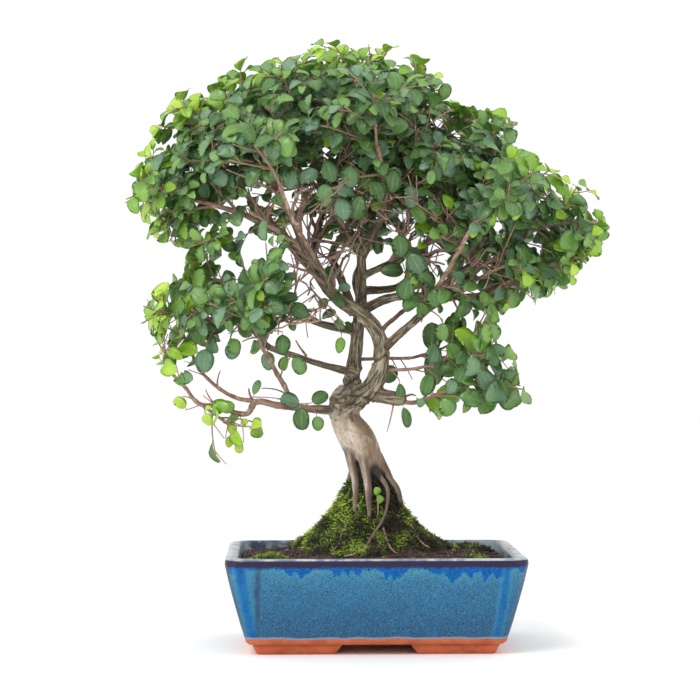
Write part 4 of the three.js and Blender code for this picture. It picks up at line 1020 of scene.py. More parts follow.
def makeTrunk():
    lines, kinds, parts = [], [], []

    def add(line, kind, sides, relief=None):
        lines.append(line)
        kinds.append(kind)
        parts.append(sweep(line, sides, relief))

    add(smoothPath([(*p, i) for i, p in enumerate(bole["points"])], wood["step"]), 0, 40, boleRelief)
    for number, points in enumerate(roots):
        line = smoothPath(points, wood["step"])
        if number == wood["darkRoot"]:
            line[:, 3] *= 1 - 0.3 * held((142 - line[:, 2]) / 14)
        add(line, 1, 16)
    for limb in limbs:
        line = smoothPath(limb["points"], wood["step"])
        thick = line[line[:, 3] >= wood["thinFrom"] * 0.92]
        if len(thick) >= 4 and line[0, 3] >= wood["thinFrom"]:
            add(thick, 2, 18)
    verts, normals, quads = remeshed(parts, wood["voxel"], 4)
    x, y, z = verts.T
    a, b, run, number, radius = alongWood(verts, lines)
    onBole, onRoot, onLimb = [np.array(kinds)[number] == kind for kind in range(3)]
    turn = run * wood["twist"]
    flat = np.stack([a * np.cos(turn) + b * np.sin(turn), b * np.cos(turn) - a * np.sin(turn), run * 0.16], 1)
    ridges = softNoise(flat, 5.2, 3, 2) * 0.7 + softNoise(flat, 2.3, 9) * 0.3
    furrows = softNoise(np.stack([a, b, run * 0.2], 1), 2.6, 12, 2)
    gnarl = np.exp(-(sizes(verts - np.array(wood["gnarlAt"])) / wood["gnarlReach"]) ** 2)
    gnarled = np.abs(softNoise(verts * np.array([1, 1, 1.3]), 5.0, 44, 2))
    old = held((z - 190) / 14) * onLimb + 0.55 * gnarl
    reddish = held((-42 - x) / 20) * held((236 - z) / 16) * onLimb
    reddish = reddish + 0.5 * onRoot * held((148 - z) / 22)
    amount = np.clip(radius / 6, 0.25, 1)
    lift = (wood["ridge"] * ridges * onBole + 0.5 * ridges * onRoot * amount
            + onLimb * amount * (wood["furrow"] * furrows + 0.7 * softNoise(verts, 9, 21, 2))
            + 0.5 * gnarl * wood["gnarl"] * (gnarled * -2.2 + 0.55)
            + 0.9 * gnarl * furrows + 0.12 * softNoise(verts, 1.7, 5))
    hollow = np.exp(-(sizes((verts - np.array(wood["hollowAt"])) / np.array([5.5, 10, 9]))) ** 2)
    folded, folds = seamDepth(verts, normals)
    below = held((np.interp(x, *np.array(wood["belly"]).T) - z) / 4) * held((8 - y) / 6) * held((8 - x) / 4)
    lift = lift - wood["hollowDepth"] * hollow * onBole - folded - wood["bellyDepth"] * below * onBole
    shade = below * held((y + 13) / 3)
    darkRoot = 0.45 * (number == 1 + wood["darkRoot"]) * held((146 - z) / 10)
    # crease: high in the sunken parts of the ridges and gnarls, darkened there by painted shade
    crease = held(0.5 - 0.6 * (ridges * onBole + ridges * onRoot + furrows * onLimb)
                  + 0.4 * gnarl * (gnarled * 2.2 - 0.55))
    verts = verts + normals * lift[:, None]
    low = held((141 - verts[:, 2]) / 16)
    marks = {"oldBark": held(old) * (1 - 0.6 * reddish), "crease": crease, "slim": reddish,
             # dark: painted shade in the hollow, the folds and knots and behind the roots; also darker
             # towards the foot and along the thin root
             "dark": held(np.maximum(1.4 * hollow + 0.4 * low + 0.6 * folds, darkRoot) + shade),
             # painted light: the wood paler on its left and top, where the light falls
             "sunny": held(0.5 - 0.8 * normals[:, 0] + 0.15 * normals[:, 2]),
             "around": a / 10, "across": b / 10, "along": run / 10}
    return meshPiece("trunk", [{"v": verts, "quads": quads, "marks": marks}], [bark], ["tree"])


def makeLimbs():
    parts = []
    for limb in limbs:
        line = smoothPath(limb["points"], wood["step"])
        if line[0, 3] >= wood["thinFrom"]:
            thin = np.nonzero(line[:, 3] < wood["thinFrom"])[0]
            if len(thin) == 0:
                continue
            line = line[max(0, thin[0] - 4):]
        wobble = np.stack([softNoise(line[:, :3], 11, 60 + k) for k in range(3)], axis=1)
        fade = held(np.arange(len(line)) / 4)[:, None]
        line = line.copy()
        line[:, :3] += wobble * 0.5 * fade
        run = runAlong(line)
        nodes = np.exp(-(((run % 13) - 6.5) / 1.6) ** 2)
        line[:, 3] *= 1 + 0.16 * nodes
        parts.append(limbTube(line, run, 0.65))
    for points in deadTwigs:
        line = smoothPath(points, 1.5)
        parts.append(limbTube(line, np.arange(len(line)) * 1.5, 0.9, sides=7))
    for points in surfaceRoots:
        line = smoothPath(points, 1.5)
        line[:, 2] = groundHeight(line[:, 0], line[:, 1]) + 1.2 + 0.9 * softNoise(line[:, :3], 6, 71)
        parts.append(limbTube(line, np.arange(len(line)) * 1.5, 0.8, sides=7))
    return meshPiece("limbs", parts, [bark], ["tree"])


def limbTube(line, run, old, sides=10):
    tube = sweep(line, sides, limbRelief)
    angles = np.tile(np.arange(sides) / sides * turnFull, len(line))
    radius = np.repeat(line[:, 3], sides)
    pad = lambda values: np.concatenate([values, values[:1], values[-1:]])
    tube["marks"] = {
        "oldBark": np.full(len(tube["v"]), old), "crease": held(0.5 + 0.5 * softNoise(tube["v"], 2.2, 90)),
        "around": pad(radius * np.cos(angles)) / 10, "across": pad(radius * np.sin(angles)) / 10,
        "along": pad(np.repeat(run, sides)) / 10, "slim": pad(held(1 - (radius - 1) / 2.2)),
    }
    return tube


# Foliage. Every blade is a thin closed skin: a grid on top, one below, and a common edge.

blade = {
    "stations": (0.05, 0.17, 0.33, 0.52, 0.7, 0.85, 0.95),
    "halfWidth": (0.36, 0.71, 0.93, 1.0, 0.93, 0.72, 0.44),  # of half the width, at those stations
    "top": (-0.52, 0, 0.52),  # columns between the edges
    "under": (0,),
    "thickness": 0.34,
    "petiole": 2.2,
    "petioleRadius": 0.36,
}
dressing = {
    "seed": 5150,
    "leaderTwigs": 4,
    "sideTwigTwigs": 2,
    "fineLength": (11, 25),
    "fineRadius": 0.5,
    "leafGap": 8.2,
    "leafLength": (12.5, 22.5),
    "slimness": (0.6, 0.88),
    "frontwards": (0.1, 1.1),
    "upwards": (0.1, 1.2),
    "hang": (-0.1, 0.45),
    "kept": 0.84,  # share of the leaves that grow where nothing else is said
    "swings": (0, 0.7, -0.7, 1.5, -1.5),  # ways to turn a leaf that has no room
    "middles": (0.3, 0.52, 0.75),  # places along a leaf of the balls that stand for it
    "room": 0.16,  # radius of those balls, as a share of its width
    "spurGap": 9.5,
    "spurLength": (7, 22),
    "margin": 5,  # how far a leaf's tip may pass the frame's box
}


def bladeFaces():  # 0 base, 1 tip, then columns of stations: left edge, right edge, on top and below
    n = len(blade["stations"])
    tops = len(blade["top"])
    inner = tops + len(blade["under"])
    quads = []
    tris = []
    for columns, way in (([0, *range(2, 2 + tops), 1], 1), ([0, *range(2 + tops, 2 + inner), 1], -1)):
        lines = [2 + k * n + np.arange(n) for k in columns]
        for one, two in zip(lines[:-1], lines[1:]):
            quads += [(one[i], two[i], two[i + 1], one[i + 1])[::way] for i in range(n - 1)]
            tris += [(0, two[0], one[0])[::way], (one[-1], two[-1], 1)[::way]]
    return np.array(quads), np.array(tris), 2 + (2 + inner) * n


def bladeParts(leaves):
    quads, tris, count = bladeFaces()
    n, many = len(blade["stations"]), len(leaves)
    base, heading, normal, length, width, droop, fold, phase, tone, skew = [
        np.array([leaf[key] for leaf in leaves], dtype=float)
        for key in ("base", "heading", "normal", "length", "width", "droop", "fold", "phase", "tone", "skew")]
    across = np.cross(normal, heading)
    stalk = np.minimum(blade["petiole"], 0.16 * length)
    u = np.array([0, 1, *blade["stations"]])
    shape = np.interp(held(u[None, :] + skew[:, None] * np.sin(math.pi * u)[None, :]).ravel(),
                      [0, *blade["stations"], 1], [0, *blade["halfWidth"], 0]).reshape(many, -1)
    shape[:, :2] = 0

    def spot(k, v, lift):  # station k, share across v from -1 to 1, and height over the blade's middle
        reach = stalk + (length - stalk) * u[k]
        half = 0.5 * width * shape[:, k]
        rise = width * 0.13 * math.sin(math.pi * u[k] ** 0.8) - 0.06 * width * u[k] ** 3
        rise = rise - droop * length * u[k] ** 2
        rise = rise + fold * abs(v) * half + 0.05 * width * abs(v) ** 2 * np.sin(7 * u[k] + phase + 1.3 * v)
        pull = 1 - 0.12 * fold * abs(v)
        return (base + heading * reach[:, None] + across * (v * half * pull)[:, None]
                + normal * (rise + lift * blade["thickness"])[:, None])

    skins = [(-1, 0), (1, 0), *[(v, 0.5) for v in blade["top"]], *[(v, -0.5) for v in blade["under"]]]
    places = [(0, 0, 0), (1, 0, 0), *[(2 + i, v, lift) for v, lift in skins for i in range(n)]]
    station, side, lift = np.array(places).T
    part = {"v": np.stack([spot(*place) for place in places], axis=1).reshape(-1, 3),
            **copies(quads, tris, many, count),
            "uv": np.tile(np.stack([0.5 + 0.5 * side, u[station.astype(int)]], axis=1), (many, 1)),
            "marks": {"under": np.tile(0.5 - lift, many), "tone": np.repeat(tone, count),
                      "chance": np.repeat((phase * 7.31) % 1, count)}}
    # petioles: three-sided, from inside the shoot to just under the blade's base
    rings = []
    for reach, radius in ((0.0, 1.0), (1.3, 0.7)):
        centre = base + heading * (stalk * reach)[:, None] - normal * (0.1 * reach)
        rings.append(centre[:, None, :] + circles(normal, across, 3) * blade["petioleRadius"] * radius)
    petioles = {"v": np.concatenate(rings, axis=1).reshape(-1, 3), "look": 1,
                **copies(ringFaces(2, 3), np.array([(0, 2, 1), (3, 4, 5)]), many, 6),
                "marks": {"young": np.repeat(0.45 + 0.55 * tone, 6)}}
    return [part, petioles]


def twigPart(path, young, sides=6, bleached=0.0):
    part = sweep(path, sides)
    share = np.concatenate([np.repeat(np.linspace(0, 1, len(path)), sides), [0, 1]])
    marks = {"young": between(young, share), "bleached": np.full(len(share), bleached)}
    return {**part, "look": 1, "marks": marks}


def foliage(name, parts, *nodes):
    meshPiece(name, parts, [leafFinish, twigBark], nodes)


def lengthOf(path):
    return sizes(np.diff(path[:, :3], axis=0)).sum()


def pathAt(path, share):
    place = share * (len(path) - 1)
    i = min(len(path) - 2, int(place))
    return path[i, :3] + (path[i + 1, :3] - path[i, :3]) * (place - i), unit(path[i + 1, :3] - path[i, :3])


def bentPath(start, end, radii, sag, draw, count=6):  # a slightly bowed twig
    way = end - start
    side = unit(cross(way, vec(next(draw) - 0.5, next(draw) - 0.5, next(draw) - 0.5) + way * 0.01))
    t = np.linspace(0, 1, count)[:, None]
    line = start + way * t + side * (sag * 4 * t * (1 - t)) * size(way)
    return np.column_stack([line, radii[0] + (radii[1] - radii[0]) * t[:, 0]])


def rimShare(place):  # 1 at the rim of the crown, where the leaves are young and also take a painted glow of light through them, and 0 further in
    a = np.array(crownOutline, dtype=float)
    run = np.roll(a, -1, axis=0) - a
    way = np.array([place[0], place[2]]) - a
    t = held(np.einsum("ij,ij->i", way, run) / np.einsum("ij,ij->i", run, run))
    nearest = sizes(way - run * t[:, None]).min()
    low = 0.45 if place[0] > 60 and place[2] < 268 else 1
    # the rim reaches further in on the left, where the light comes from
    return low * min(1, max(0, 1.2 - nearest / (32 if place[0] < 0 else 20)))


def leafLook(leaf, draw, tip, key=False):  # what makes one blade differ from the next
    middle = leaf["base"] + leaf["heading"] * (0.5 * leaf["length"])
    rim = rimShare(middle)
    if key:
        leaf["width"] *= 1.12
    chance = next(draw)
    # the rim adds the young leaves' lighter green and with it painted glow of light through the leaves
    tone = 0.03 + 0.32 * chance + rim * (0.26 + 0.42 * chance) + 0.24 * tip * (0.3 + rim)
    leaf["tone"] = min(1, max(0, tone))
    if chance > 0.955:
        leaf["tone"] = max(leaf["tone"], 0.72)
    leaf["droop"] = 0.02 if key else 0.02 + 0.16 * next(draw)
    leaf["fold"] = 0.12 + 0.3 * next(draw)
    leaf["phase"] = turnFull * next(draw)
    leaf["skew"] = 0.16 * (next(draw) - 0.5)
    return leaf


def facing(place, draw):  # leaves turn away from the crown's middle, and more to its front or back than aside
    away = unit(place - crownMiddle)
    front = math.copysign(between(dressing["frontwards"], next(draw)), place[1] - 12)
    return unit(vec(0.7 * away[0], 0.5 * away[1] + front, max(-0.1, 0.6 * away[2])))


def growExtraLeaf(base, along, side, scale, owner, draw, tip):
    if owner >= 0 and next(draw) > leafShare(base):
        return None
    outwards = facing(base, draw)
    lift = between(dressing["upwards"], next(draw))
    length = between(dressing["leafLength"], next(draw)) * scale * (1 - 0.35 * tip)
    width = length * between(dressing["slimness"], next(draw))
    roll = 2 * next(draw) - 1
    spread = 0.3 if side == 0 else 1.1 + 0.5 * next(draw)
    hang = between(dressing["hang"], next(draw))
    for swing in dressing["swings"]:
        across = turned(unit(cross(outwards, along)), along, 0.6 * roll + swing) * (side or 1)
        heading = along + across * spread
        heading = unit(heading - outwards * (0.7 * (heading @ outwards)) - up * hang)
        leaf = leafIfClear(base, heading, outwards + up * lift + across * (0.55 * roll), length, width,
                           dressing["middles"], dressing["room"] * width, lambda end, balls:
                           (owner < 0 or (withinCrown(end) and leafy(end))) and insideBox(end)
                           and ballsAreClear(balls, owner, 0.2))
        if leaf:
            return leafLook(leaf, draw, tip)
    return None


lightGaps = [  # x, z and half sizes of the openings through which the light shows
    (-115, 225, 15, 14), (-52, 240, 16, 12), (9, 262, 19, 28), (30, 246, 12, 16), (-94, 185, 22, 14),
    (8, 190, 26, 12),
    (76, 264, 12, 8),
]
airyPlaces = [  # x, z, half sizes, and the share of leaves kept in front of the tree's middle and behind it
    (-40, 292, 36, 46, 0.04, 0.3), (-65, 350, 60, 19, 0.1, 0.45), (-95, 372, 24, 27, 0.16, 0.5),
    (-111, 403, 15, 13, 0.45, 0.6), (-32, 402, 18, 17, 0.4, 0.6), (10, 347, 34, 16, 0.12, 0.5),
    (-15, 317, 36, 27, 0.06, 0.4), (6, 279, 32, 20, 0.03, 0.2), (-86, 258, 38, 10, 0.3, 0.4),
    (-118, 218, 50, 22, 0.08, 0.12), (-124, 188, 30, 26, 0.2, 0.2), (54, 430, 26, 14, 0.1, 0.3),
    (106, 262, 26, 14, 0.0, 0.0), (77, 292, 15, 11, 0.2, 0.4), (36, 266, 20, 15, 0.15, 0.3),
    (123, 340, 20, 10, 0.4, 0.6), (0, 500, 30, 9, 0.05, 0.1), (-150, 258, 30, 16, 0.5, 0.5),
    (-168, 226, 26, 22, 0.35, 0.35), (118, 286, 22, 12, 0.25, 0.35), (-196, 372, 16, 34, 0.6, 0.6),
    (84, 228, 50, 34, 0.4, 0.25), (-86, 276, 26, 24, 0.7, 0.4), (-180, 272, 18, 30, 0.25, 0.25),
    (128, 400, 12, 10, 0.1, 0.2), (78, 432, 9, 8, 0.1, 0.2), (150, 384, 12, 8, 0.2, 0.3),
    (82, 308, 22, 20, 0.1, 0.28), (58, 334, 20, 16, 0.3, 0.5), (96, 342, 12, 16, 0.15, 0.35),
    (127, 328, 12, 14, 0.2, 0.35), (-104, 340, 22, 15, 0.25, 0.5), (-107, 316, 14, 10, 0.3, 0.5),
    (-114, 262, 28, 9, 0.15, 0.3), (-124, 172, 26, 20, 0.05, 0.05), (78, 258, 18, 12, 0.2, 0.3),
    (27, 229, 14, 12, 0.05, 0.05), (-158, 330, 10, 14, 0.1, 0.1), (62, 210, 14, 10, 0.2, 0.2),
]


def leafShare(place):
    share = dressing["kept"]
    for x, z, width, height, front, back in airyPlaces:
        away = math.hypot((place[0] - x) / width, (place[2] - z) / height)
        inside = min(1, max(0, (1.15 - away) / 0.25))
        kept = back if place[1] > 14 else front
        share = min(share, share + (kept - share) * inside)
    return share


def leafy(place):
    return all(math.hypot((place[0] - x) / width, (place[2] - z) / height) > 1
               for x, z, width, height in lightGaps)


def insideBox(place):
    spot = place + plantOffset
    room = dressing["margin"]
    return all(cadBox[0][i] / mm - room < spot[i] < cadBox[1][i] / mm + room for i in range(3))


def dressShoot(path, owner, scale, draw, start, leaves, tipLeaf):
    run = lengthOf(path)
    gap = dressing["leafGap"]

    def addLeaf(share, side, tip):
        base, along = pathAt(path, share)
        leaf = growExtraLeaf(base, along, side, scale, owner, draw, tip)
        if leaf:
            leaves.append(leaf)

    place = max(start * run, 3.5) + gap * 0.4 * next(draw)
    while place < run - 2:
        for side in (1, -1):
            addLeaf(place / run, side, (place / run) ** 3 * tipLeaf)
        place += gap * (0.8 + 0.4 * next(draw))
    if tipLeaf:
        addLeaf(1, 0, 1)


def growFineTwig(parent, share, owner, draw, length, radius, onwards=0.55, upwards=0.1):
    base, along = pathAt(parent, share)
    outwards = unit(base - crownMiddle)
    normal = unit(cross(along, up + outwards * 0.01))
    binormal = cross(along, normal)
    phase = turnFull * next(draw)
    for swing in (0, 0.9, -0.9, 1.9, -1.9, 3):
        turn = phase + swing
        aside = normal * math.cos(turn) + binormal * math.sin(turn)
        heading = unit(along * onwards + aside + outwards * 0.35 + up * upwards)
        end = base + heading * length
        if not insideBox(end) or not withinCrown(end) or not leafy(end):
            continue
        path = bentPath(base, end, (radius, radius * 0.7), 0.05 * next(draw), draw)
        if woodIsClear([path[1], path[-1]], owner, None, 0.3):
            addWood([path[0], path[-1]], owner)
            return path
    return None


def dressSpray(shoot):  # everything that one spray carries, as parts of one mesh
    leader, owner = shoot["leader"], shoot["leader"]["index"]
    draw = randomStream(dressing["seed"] + 613 * (owner + 1))
    scale = leader["leafScale"]
    paths = [leader["path"]]
    for twig in shoot["twigs"]:
        start, _ = pathAt(leader["path"], twig["share"])
        paths.append(bentPath(start, twig["points"][-1][:3], sprays["twigRadius"], 0.04, draw))
    leaves = []
    for number, share, leaf in shoot["leaves"]:
        leaf["base"] = pathAt(paths[number], share)[0] if share < 1 else leaf["base"]
        leaves.append(leafLook(leaf, draw, 0.8 * share ** 3, key=True))
    fine = []
    reach = np.linalg.norm(leader["points"][0][:3] - leader["points"][-1][:3])
    leafy = max(0.12, 1 - 95 / reach)
    for i in range(dressing["leaderTwigs"]):
        share = leafy + (0.96 - leafy) * (i + 0.7 * next(draw)) / dressing["leaderTwigs"]
        fine.append(growFineTwig(paths[0], share, owner, draw, between(dressing["fineLength"], next(draw)),
                                 dressing["fineRadius"]))
    for path in paths[1:]:
        for i in range(dressing["sideTwigTwigs"]):
            share = (i + 0.35 + 0.5 * next(draw)) / dressing["sideTwigTwigs"]
            length = between(dressing["fineLength"], next(draw)) * 0.8
            fine.append(growFineTwig(path, min(0.95, share), owner, draw, length, dressing["fineRadius"]))
    fine = [path for path in fine if path is not None]
    dressShoot(paths[0], owner, scale, draw, leafy, leaves, 0)
    for path in paths[1:]:
        dressShoot(path, owner, scale, draw, 0.15, leaves, 0)
    for path in fine:
        dressShoot(path, owner, scale * 0.94, draw, 0.2, leaves, 1)
    parts = bladeParts(leaves)
    parts.append(twigPart(paths[0], (0.0, 0.35), 8))
    parts += [twigPart(path, (0.15, 0.6)) for path in paths[1:]]
    parts += [twigPart(path, (0.3, 0.9), 5) for path in fine]
    return parts, len(leaves)


def makeSprays():
    total = 0
    for i, shoot in enumerate(keyShoots):
        parts, count = dressSpray(shoot)
        total += count
        foliage(f"leafySpray{i + 1:02d}", parts, f"spray_{i + 1:02d}")
    print("sprays dressed", total, "leaves")


def makeSpurs():  # short shoots on the limbs themselves
    leaves = []
    twigs = []
    for number, limb in enumerate(limbs):
        if "leafyFrom" not in limb:
            continue
        draw = randomStream(dressing["seed"] + 7919 + 131 * number)
        line = smoothPath(limb["points"][max(0, limb["leafyFrom"] - 1):], 2.0)
        run = lengthOf(line)
        place = 4.0
        while place < run:
            length = between(dressing["spurLength"], next(draw))
            path = growFineTwig(line, min(0.99, place / run), 500 + number, draw, length, 0.55)
            place += dressing["spurGap"] * (0.7 + 0.6 * next(draw))
            if path is None:
                continue
            twigs.append(twigPart(path, (0.1, 0.7), 5))
            dressShoot(path, 500 + number, 0.95 * leafScaleAt(path[-1, :3]), draw, 0.25, leaves, 1)
    foliage("limbSpurs", bladeParts(leaves) + twigs)
    print("spurs grown", len(twigs), "with", len(leaves), "leaves")


def makeSprout():
    points, keyLeaves = seedling
    draw = randomStream(dressing["seed"] + 99)
    path = bentPath(points[0][:3], points[1][:3], (0.75, 0.5), 0.06, draw)
    leaves = [leafLook(leaf, draw, 0.2, key=True) for _, _, leaf in keyLeaves]
    leaves = [{**leaf, "tone": 0.48 + 0.1 * next(draw)} for leaf in leaves]
    parts = bladeParts(leaves) + [twigPart(path, (0.5, 0.9))]
    foliage("mossSprout", parts, "sprout")


# Filling shoots: thin twigs that grow from the nearest wood into the parts of the crown that are still empty

filling = {
    "seed": 60613,
    "tries": 7000,
    "spacing": 12.5,  # least distance between two tips
    "reach": (9, 60),
    "radius": (0.85, 0.5),
    "edgeRoom": 11,
    "limit": 560,
}
innerPads = rowsUnder(("centre", "radii", "weight"), [
    ((-88, -8, 372), (56, 56, 40), 1.2),
    ((-8, 0, 392), (48, 60, 40), 0.9),
    ((-20, 22, 345), (46, 40, 44), 1.0),
    ((58, -12, 362), (46, 52, 34), 0.9),
    ((-58, -6, 282), (44, 40, 34), 0.9),
    ((52, -6, 268), (26, 30, 26), 0.6),
    ((34, -16, 312), (17, 24, 20), 6),
    ((-65, 0, 490), (26, 28, 12), 5),
    ((-124, -8, 338), (16, 26, 14), 5),
])
fillingWeights = (0.8, 0.8, 0.5, 0.9, 0.8, 0.6, 1.1, 0.75, 0.8, 0.35)  # of the growth's own pads


def stemSamples():  # places that a filling shoot may start from
    lines = [smoothPath(limb["points"][max(0, limb["leafyFrom"] - 2):], 4.0)
             for limb in limbs if "leafyFrom" in limb]
    lines += [shoot["leader"]["path"] for shoot in keyShoots]
    return [(*p[:3], *unit(b[:3] - a[:3]), p[3])
            for line in lines for a, p, b in zip(line[:-2], line[1:-1], line[2:])]


def reachFor(spot, rows, reach, radius):  # a bent line from the wood that suits it best
    low, high = reach
    way = spot - rows[:, :3]
    distance = sizes(way)
    turn = 1 - np.einsum("ij,ij->i", way, rows[:, 3:6]) / np.maximum(distance, 1e-6)
    cost = distance + 14 * turn + np.where((distance < low) | (distance > high), 1e6, 0)
    best = int(np.argmin(cost))
    if cost[best] > 1e5:
        return None, None
    start, along, thick = rows[best, :3], rows[best, 3:6], rows[best, 6]
    middle = start + unit(along * 0.5 + way[best] / distance[best] + up * 0.15) * (0.45 * distance[best])
    t = np.linspace(0, 1, 8)[:, None]
    line = start * (1 - t) ** 2 + middle * (2 * t * (1 - t)) + spot * t * t
    path = np.hstack([line, between((min(thick * 0.8, radius[0]), radius[1]), t)])
    return path, path[sizes(line - start) > thick + 2.4]


def rowsAlong(path, picks):
    return [(*path[i, :3], *unit(path[i + 1, :3] - path[i, :3]), path[i, 3]) for i in picks]


# The thicket: the thin bare twigs in the middle of the crown

thicket = {
    "seed": 4409,
    "tries": 2600,
    "limit": 130,
    "spacing": 11,
    "reach": (38, 110),
    "radius": (2.3, 0.8),
    "sideTwigs": 2,
    "sideLength": (14, 34),
    "kink": 1.5,
    "bleached": 0.12,
}
thicketPlaces = rowsUnder(("centre", "radii", "weight"), [
    ((-62, -14, 378), (80, 56, 30), 1.0),
    ((-42, -8, 322), (40, 44, 20), 0.8),
    ((14, -14, 368), (60, 54, 28), 1.2),
    ((66, -14, 332), (52, 44, 24), 1.0),
    ((-104, -14, 388), (40, 44, 32), 1.0),
    ((-78, -14, 282), (40, 40, 24), 0.9),
    ((-20, -4, 424), (80, 56, 30), 0.7),
])
thicketRows = []


def tipsIn(places, weights, draw, tries):  # random spots in the places, by the weight of each place
    bulk = [np.prod(place["radii"]) * weight for place, weight in zip(places, weights)]
    shares = np.cumsum(bulk) / sum(bulk)
    for _ in range(tries):
        place = places[int(np.searchsorted(shares, next(draw)))]
        spot = vec(2 * next(draw) - 1, 2 * next(draw) - 1, 2 * next(draw) - 1)
        if size(spot) <= 0.98:
            yield spot * np.array(place["radii"]) + np.array(place["centre"])


def makeThicket():
    draw = randomStream(thicket["seed"])
    rows = np.array(stemSamples())
    tips = []
    parts = []
    for spot in tipsIn(thicketPlaces, [p["weight"] for p in thicketPlaces], draw, thicket["tries"]):
        if len(tips) >= thicket["limit"] or not withinCrown(spot):
            continue
        if tips and min(sizes(np.array(tips) - spot)) < thicket["spacing"]:
            continue
        path, free = reachFor(spot, rows, thicket["reach"], thicket["radius"])
        if path is None:
            continue
        bend = np.array([[2 * next(draw) - 1, 2 * next(draw) - 1, 2 * next(draw) - 1] for _ in range(6)])
        path[1:-1, :3] += bend * thicket["kink"]
        owner = 4000 + len(tips)
        free = path[-len(free):] if len(free) > 2 else free
        if len(free) < 3 or not insideBox(spot) or not woodIsClear(free[::2], owner, None, 0.2):
            continue
        addWood(free, owner)
        tips.append(spot)
        bleached = 0.85 if next(draw) < thicket["bleached"] else 0.25 * next(draw)
        parts.append(twigPart(path, (0.0, 0.12), 6, bleached))
        thicketRows.extend(rowsAlong(path, (3, 4, 5, 6)))
        rows = np.vstack([rows, rowsAlong(path, (3, 5))])
        for _ in range(thicket["sideTwigs"]):
            length = between(thicket["sideLength"], next(draw))
            fine = growFineTwig(path, 0.4 + 0.5 * next(draw), owner, draw, length, 0.65, 1.5, 0.5)
            if fine is not None:
                parts.append(twigPart(fine, (0.05, 0.2), 5, bleached))
                thicketRows.extend(rowsAlong(fine, (2, 4)))
    meshPiece("crownTwigs", parts, [twigBark, twigBark])
    print("thicket of", len(tips), "twigs")


# Single leaves that stand out: each hangs on a twig of its own

loneLeaves = [  # x, y, z of the blade's middle, length, width, lean from upright in degrees, and tone
    (104, -34, 211, 30, 21, 158, 0.12), (55, -30, 200, 18, 17, 150, 0.3),
    (74, -34, 206, 22, 17, 100, 0.25),
    (22, -24, 191, 20, 9, 165, 0.1), (18, -14, 212, 17, 9, 175, 0.12), (34, -22, 203, 9, 9, 140, 0.4),
    (-64, -24, 190, 21, 15, 178, 0.1), (-75, -24, 204, 19, 15, 100, 0.08),
    (-50, -22, 206, 17, 12, 60, 0.1),
    (-51, -20, 186, 15, 11, 172, 0.35), (-92, -26, 238, 18, 12, 176, 0.25),
    (-67, -22, 234, 19, 13, 150, 0.35),
    (-78, -22, 236, 15, 10, 200, 0.4), (-32, -14, 251, 16, 9, 190, 0.5),
    (-126, -24, 198, 14, 12, 60, 0.45),
    (-144, -30, 238, 22, 17, 185, 0.15), (-122, -30, 246, 16, 14, 170, 0.1),
    (-173, -28, 236, 14, 12, 0, 0.2),
    (-102, -18, 214, 15, 7, 20, 0.3), (-121, -26, 182, 11, 8, 200, 0.85),
    (-123, -22, 171, 12, 8, 210, 0.95),
    (-116, -24, 166, 11, 8, 170, 1.0), (-112, -26, 186, 8, 6, 60, 0.9),
    (16, -46, 332, 21, 17, 170, 0.1), (29, -44, 317, 23, 17, 150, 0.08),
    (22, -40, 297, 21, 17, 195, 0.12),
    (37, -42, 304, 20, 15, 120, 0.06), (27, -36, 285, 19, 15, 230, 0.15),
    (44, -38, 290, 18, 14, 165, 0.2),
    (30, -46, 358, 20, 13, 140, 0.25), (-80, -36, 252, 18, 14, 180, 0.15),
    (-120, -34, 250, 16, 12, 160, 0.3),
    (-45, -52, 373, 21, 16, 185, 0.3), (-31, -52, 362, 21, 16, 170, 0.12),
    (-18, -54, 363, 22, 17, 200, 0.1),
    (-30, -54, 375, 20, 15, 100, 0.15), (-58, -52, 387, 20, 14, 250, 0.2),
    (-42, -56, 392, 21, 15, 160, 0.1),
    (-25, -58, 388, 21, 16, 180, 0.15), (-72, -50, 386, 19, 14, 200, 0.15),
    (-4, -56, 376, 21, 16, 150, 0.1),
    (10, -56, 384, 21, 15, 190, 0.12), (24, -54, 372, 20, 15, 165, 0.08),
    (52, -34, 262, 17, 14, 180, 0.3),
    (60, -34, 246, 17, 14, 150, 0.25), (68, -36, 228, 19, 15, 200, 0.15),
    (86, -38, 222, 21, 16, 150, 0.12),
    (60, -32, 216, 16, 12, 210, 0.2), (92, -36, 240, 16, 12, 140, 0.3),
]


def makeLoneLeaves():
    draw = randomStream(dressing["seed"] + 31)
    rows = np.array(stemSamples() + thicketRows)
    leaves = []
    twigs = []
    for i, (x, y, z, length, width, lean, tone) in enumerate(loneLeaves):
        angle = math.radians(lean)
        heading = unit(vec(math.sin(angle), 0.25 * (next(draw) - 0.5), math.cos(angle)))
        normal = vec(0.5 * (next(draw) - 0.5), -1, 0.25 + 0.3 * next(draw))
        base = vec(x, y, z) - heading * (0.5 * length)
        path, _ = reachFor(base, rows, (3, 60), (0.75, 0.5))
        if path is None:
            continue
        addWood([path[3], path[-1]], 6000 + i)
        leaf = leafIfClear(base, heading, normal, length, width, dressing["middles"],
                           dressing["room"] * width, lambda end, balls: True)
        leaves.append({**leafLook(leaf, draw, 0), "tone": tone})
        twigs.append(twigPart(path, (0.1, 0.6), 5))
        rows = np.vstack([rows, rowsAlong(path, (4, 6))])
    foliage("loneLeaves", bladeParts(leaves) + twigs)
    print("single leaves", len(leaves))


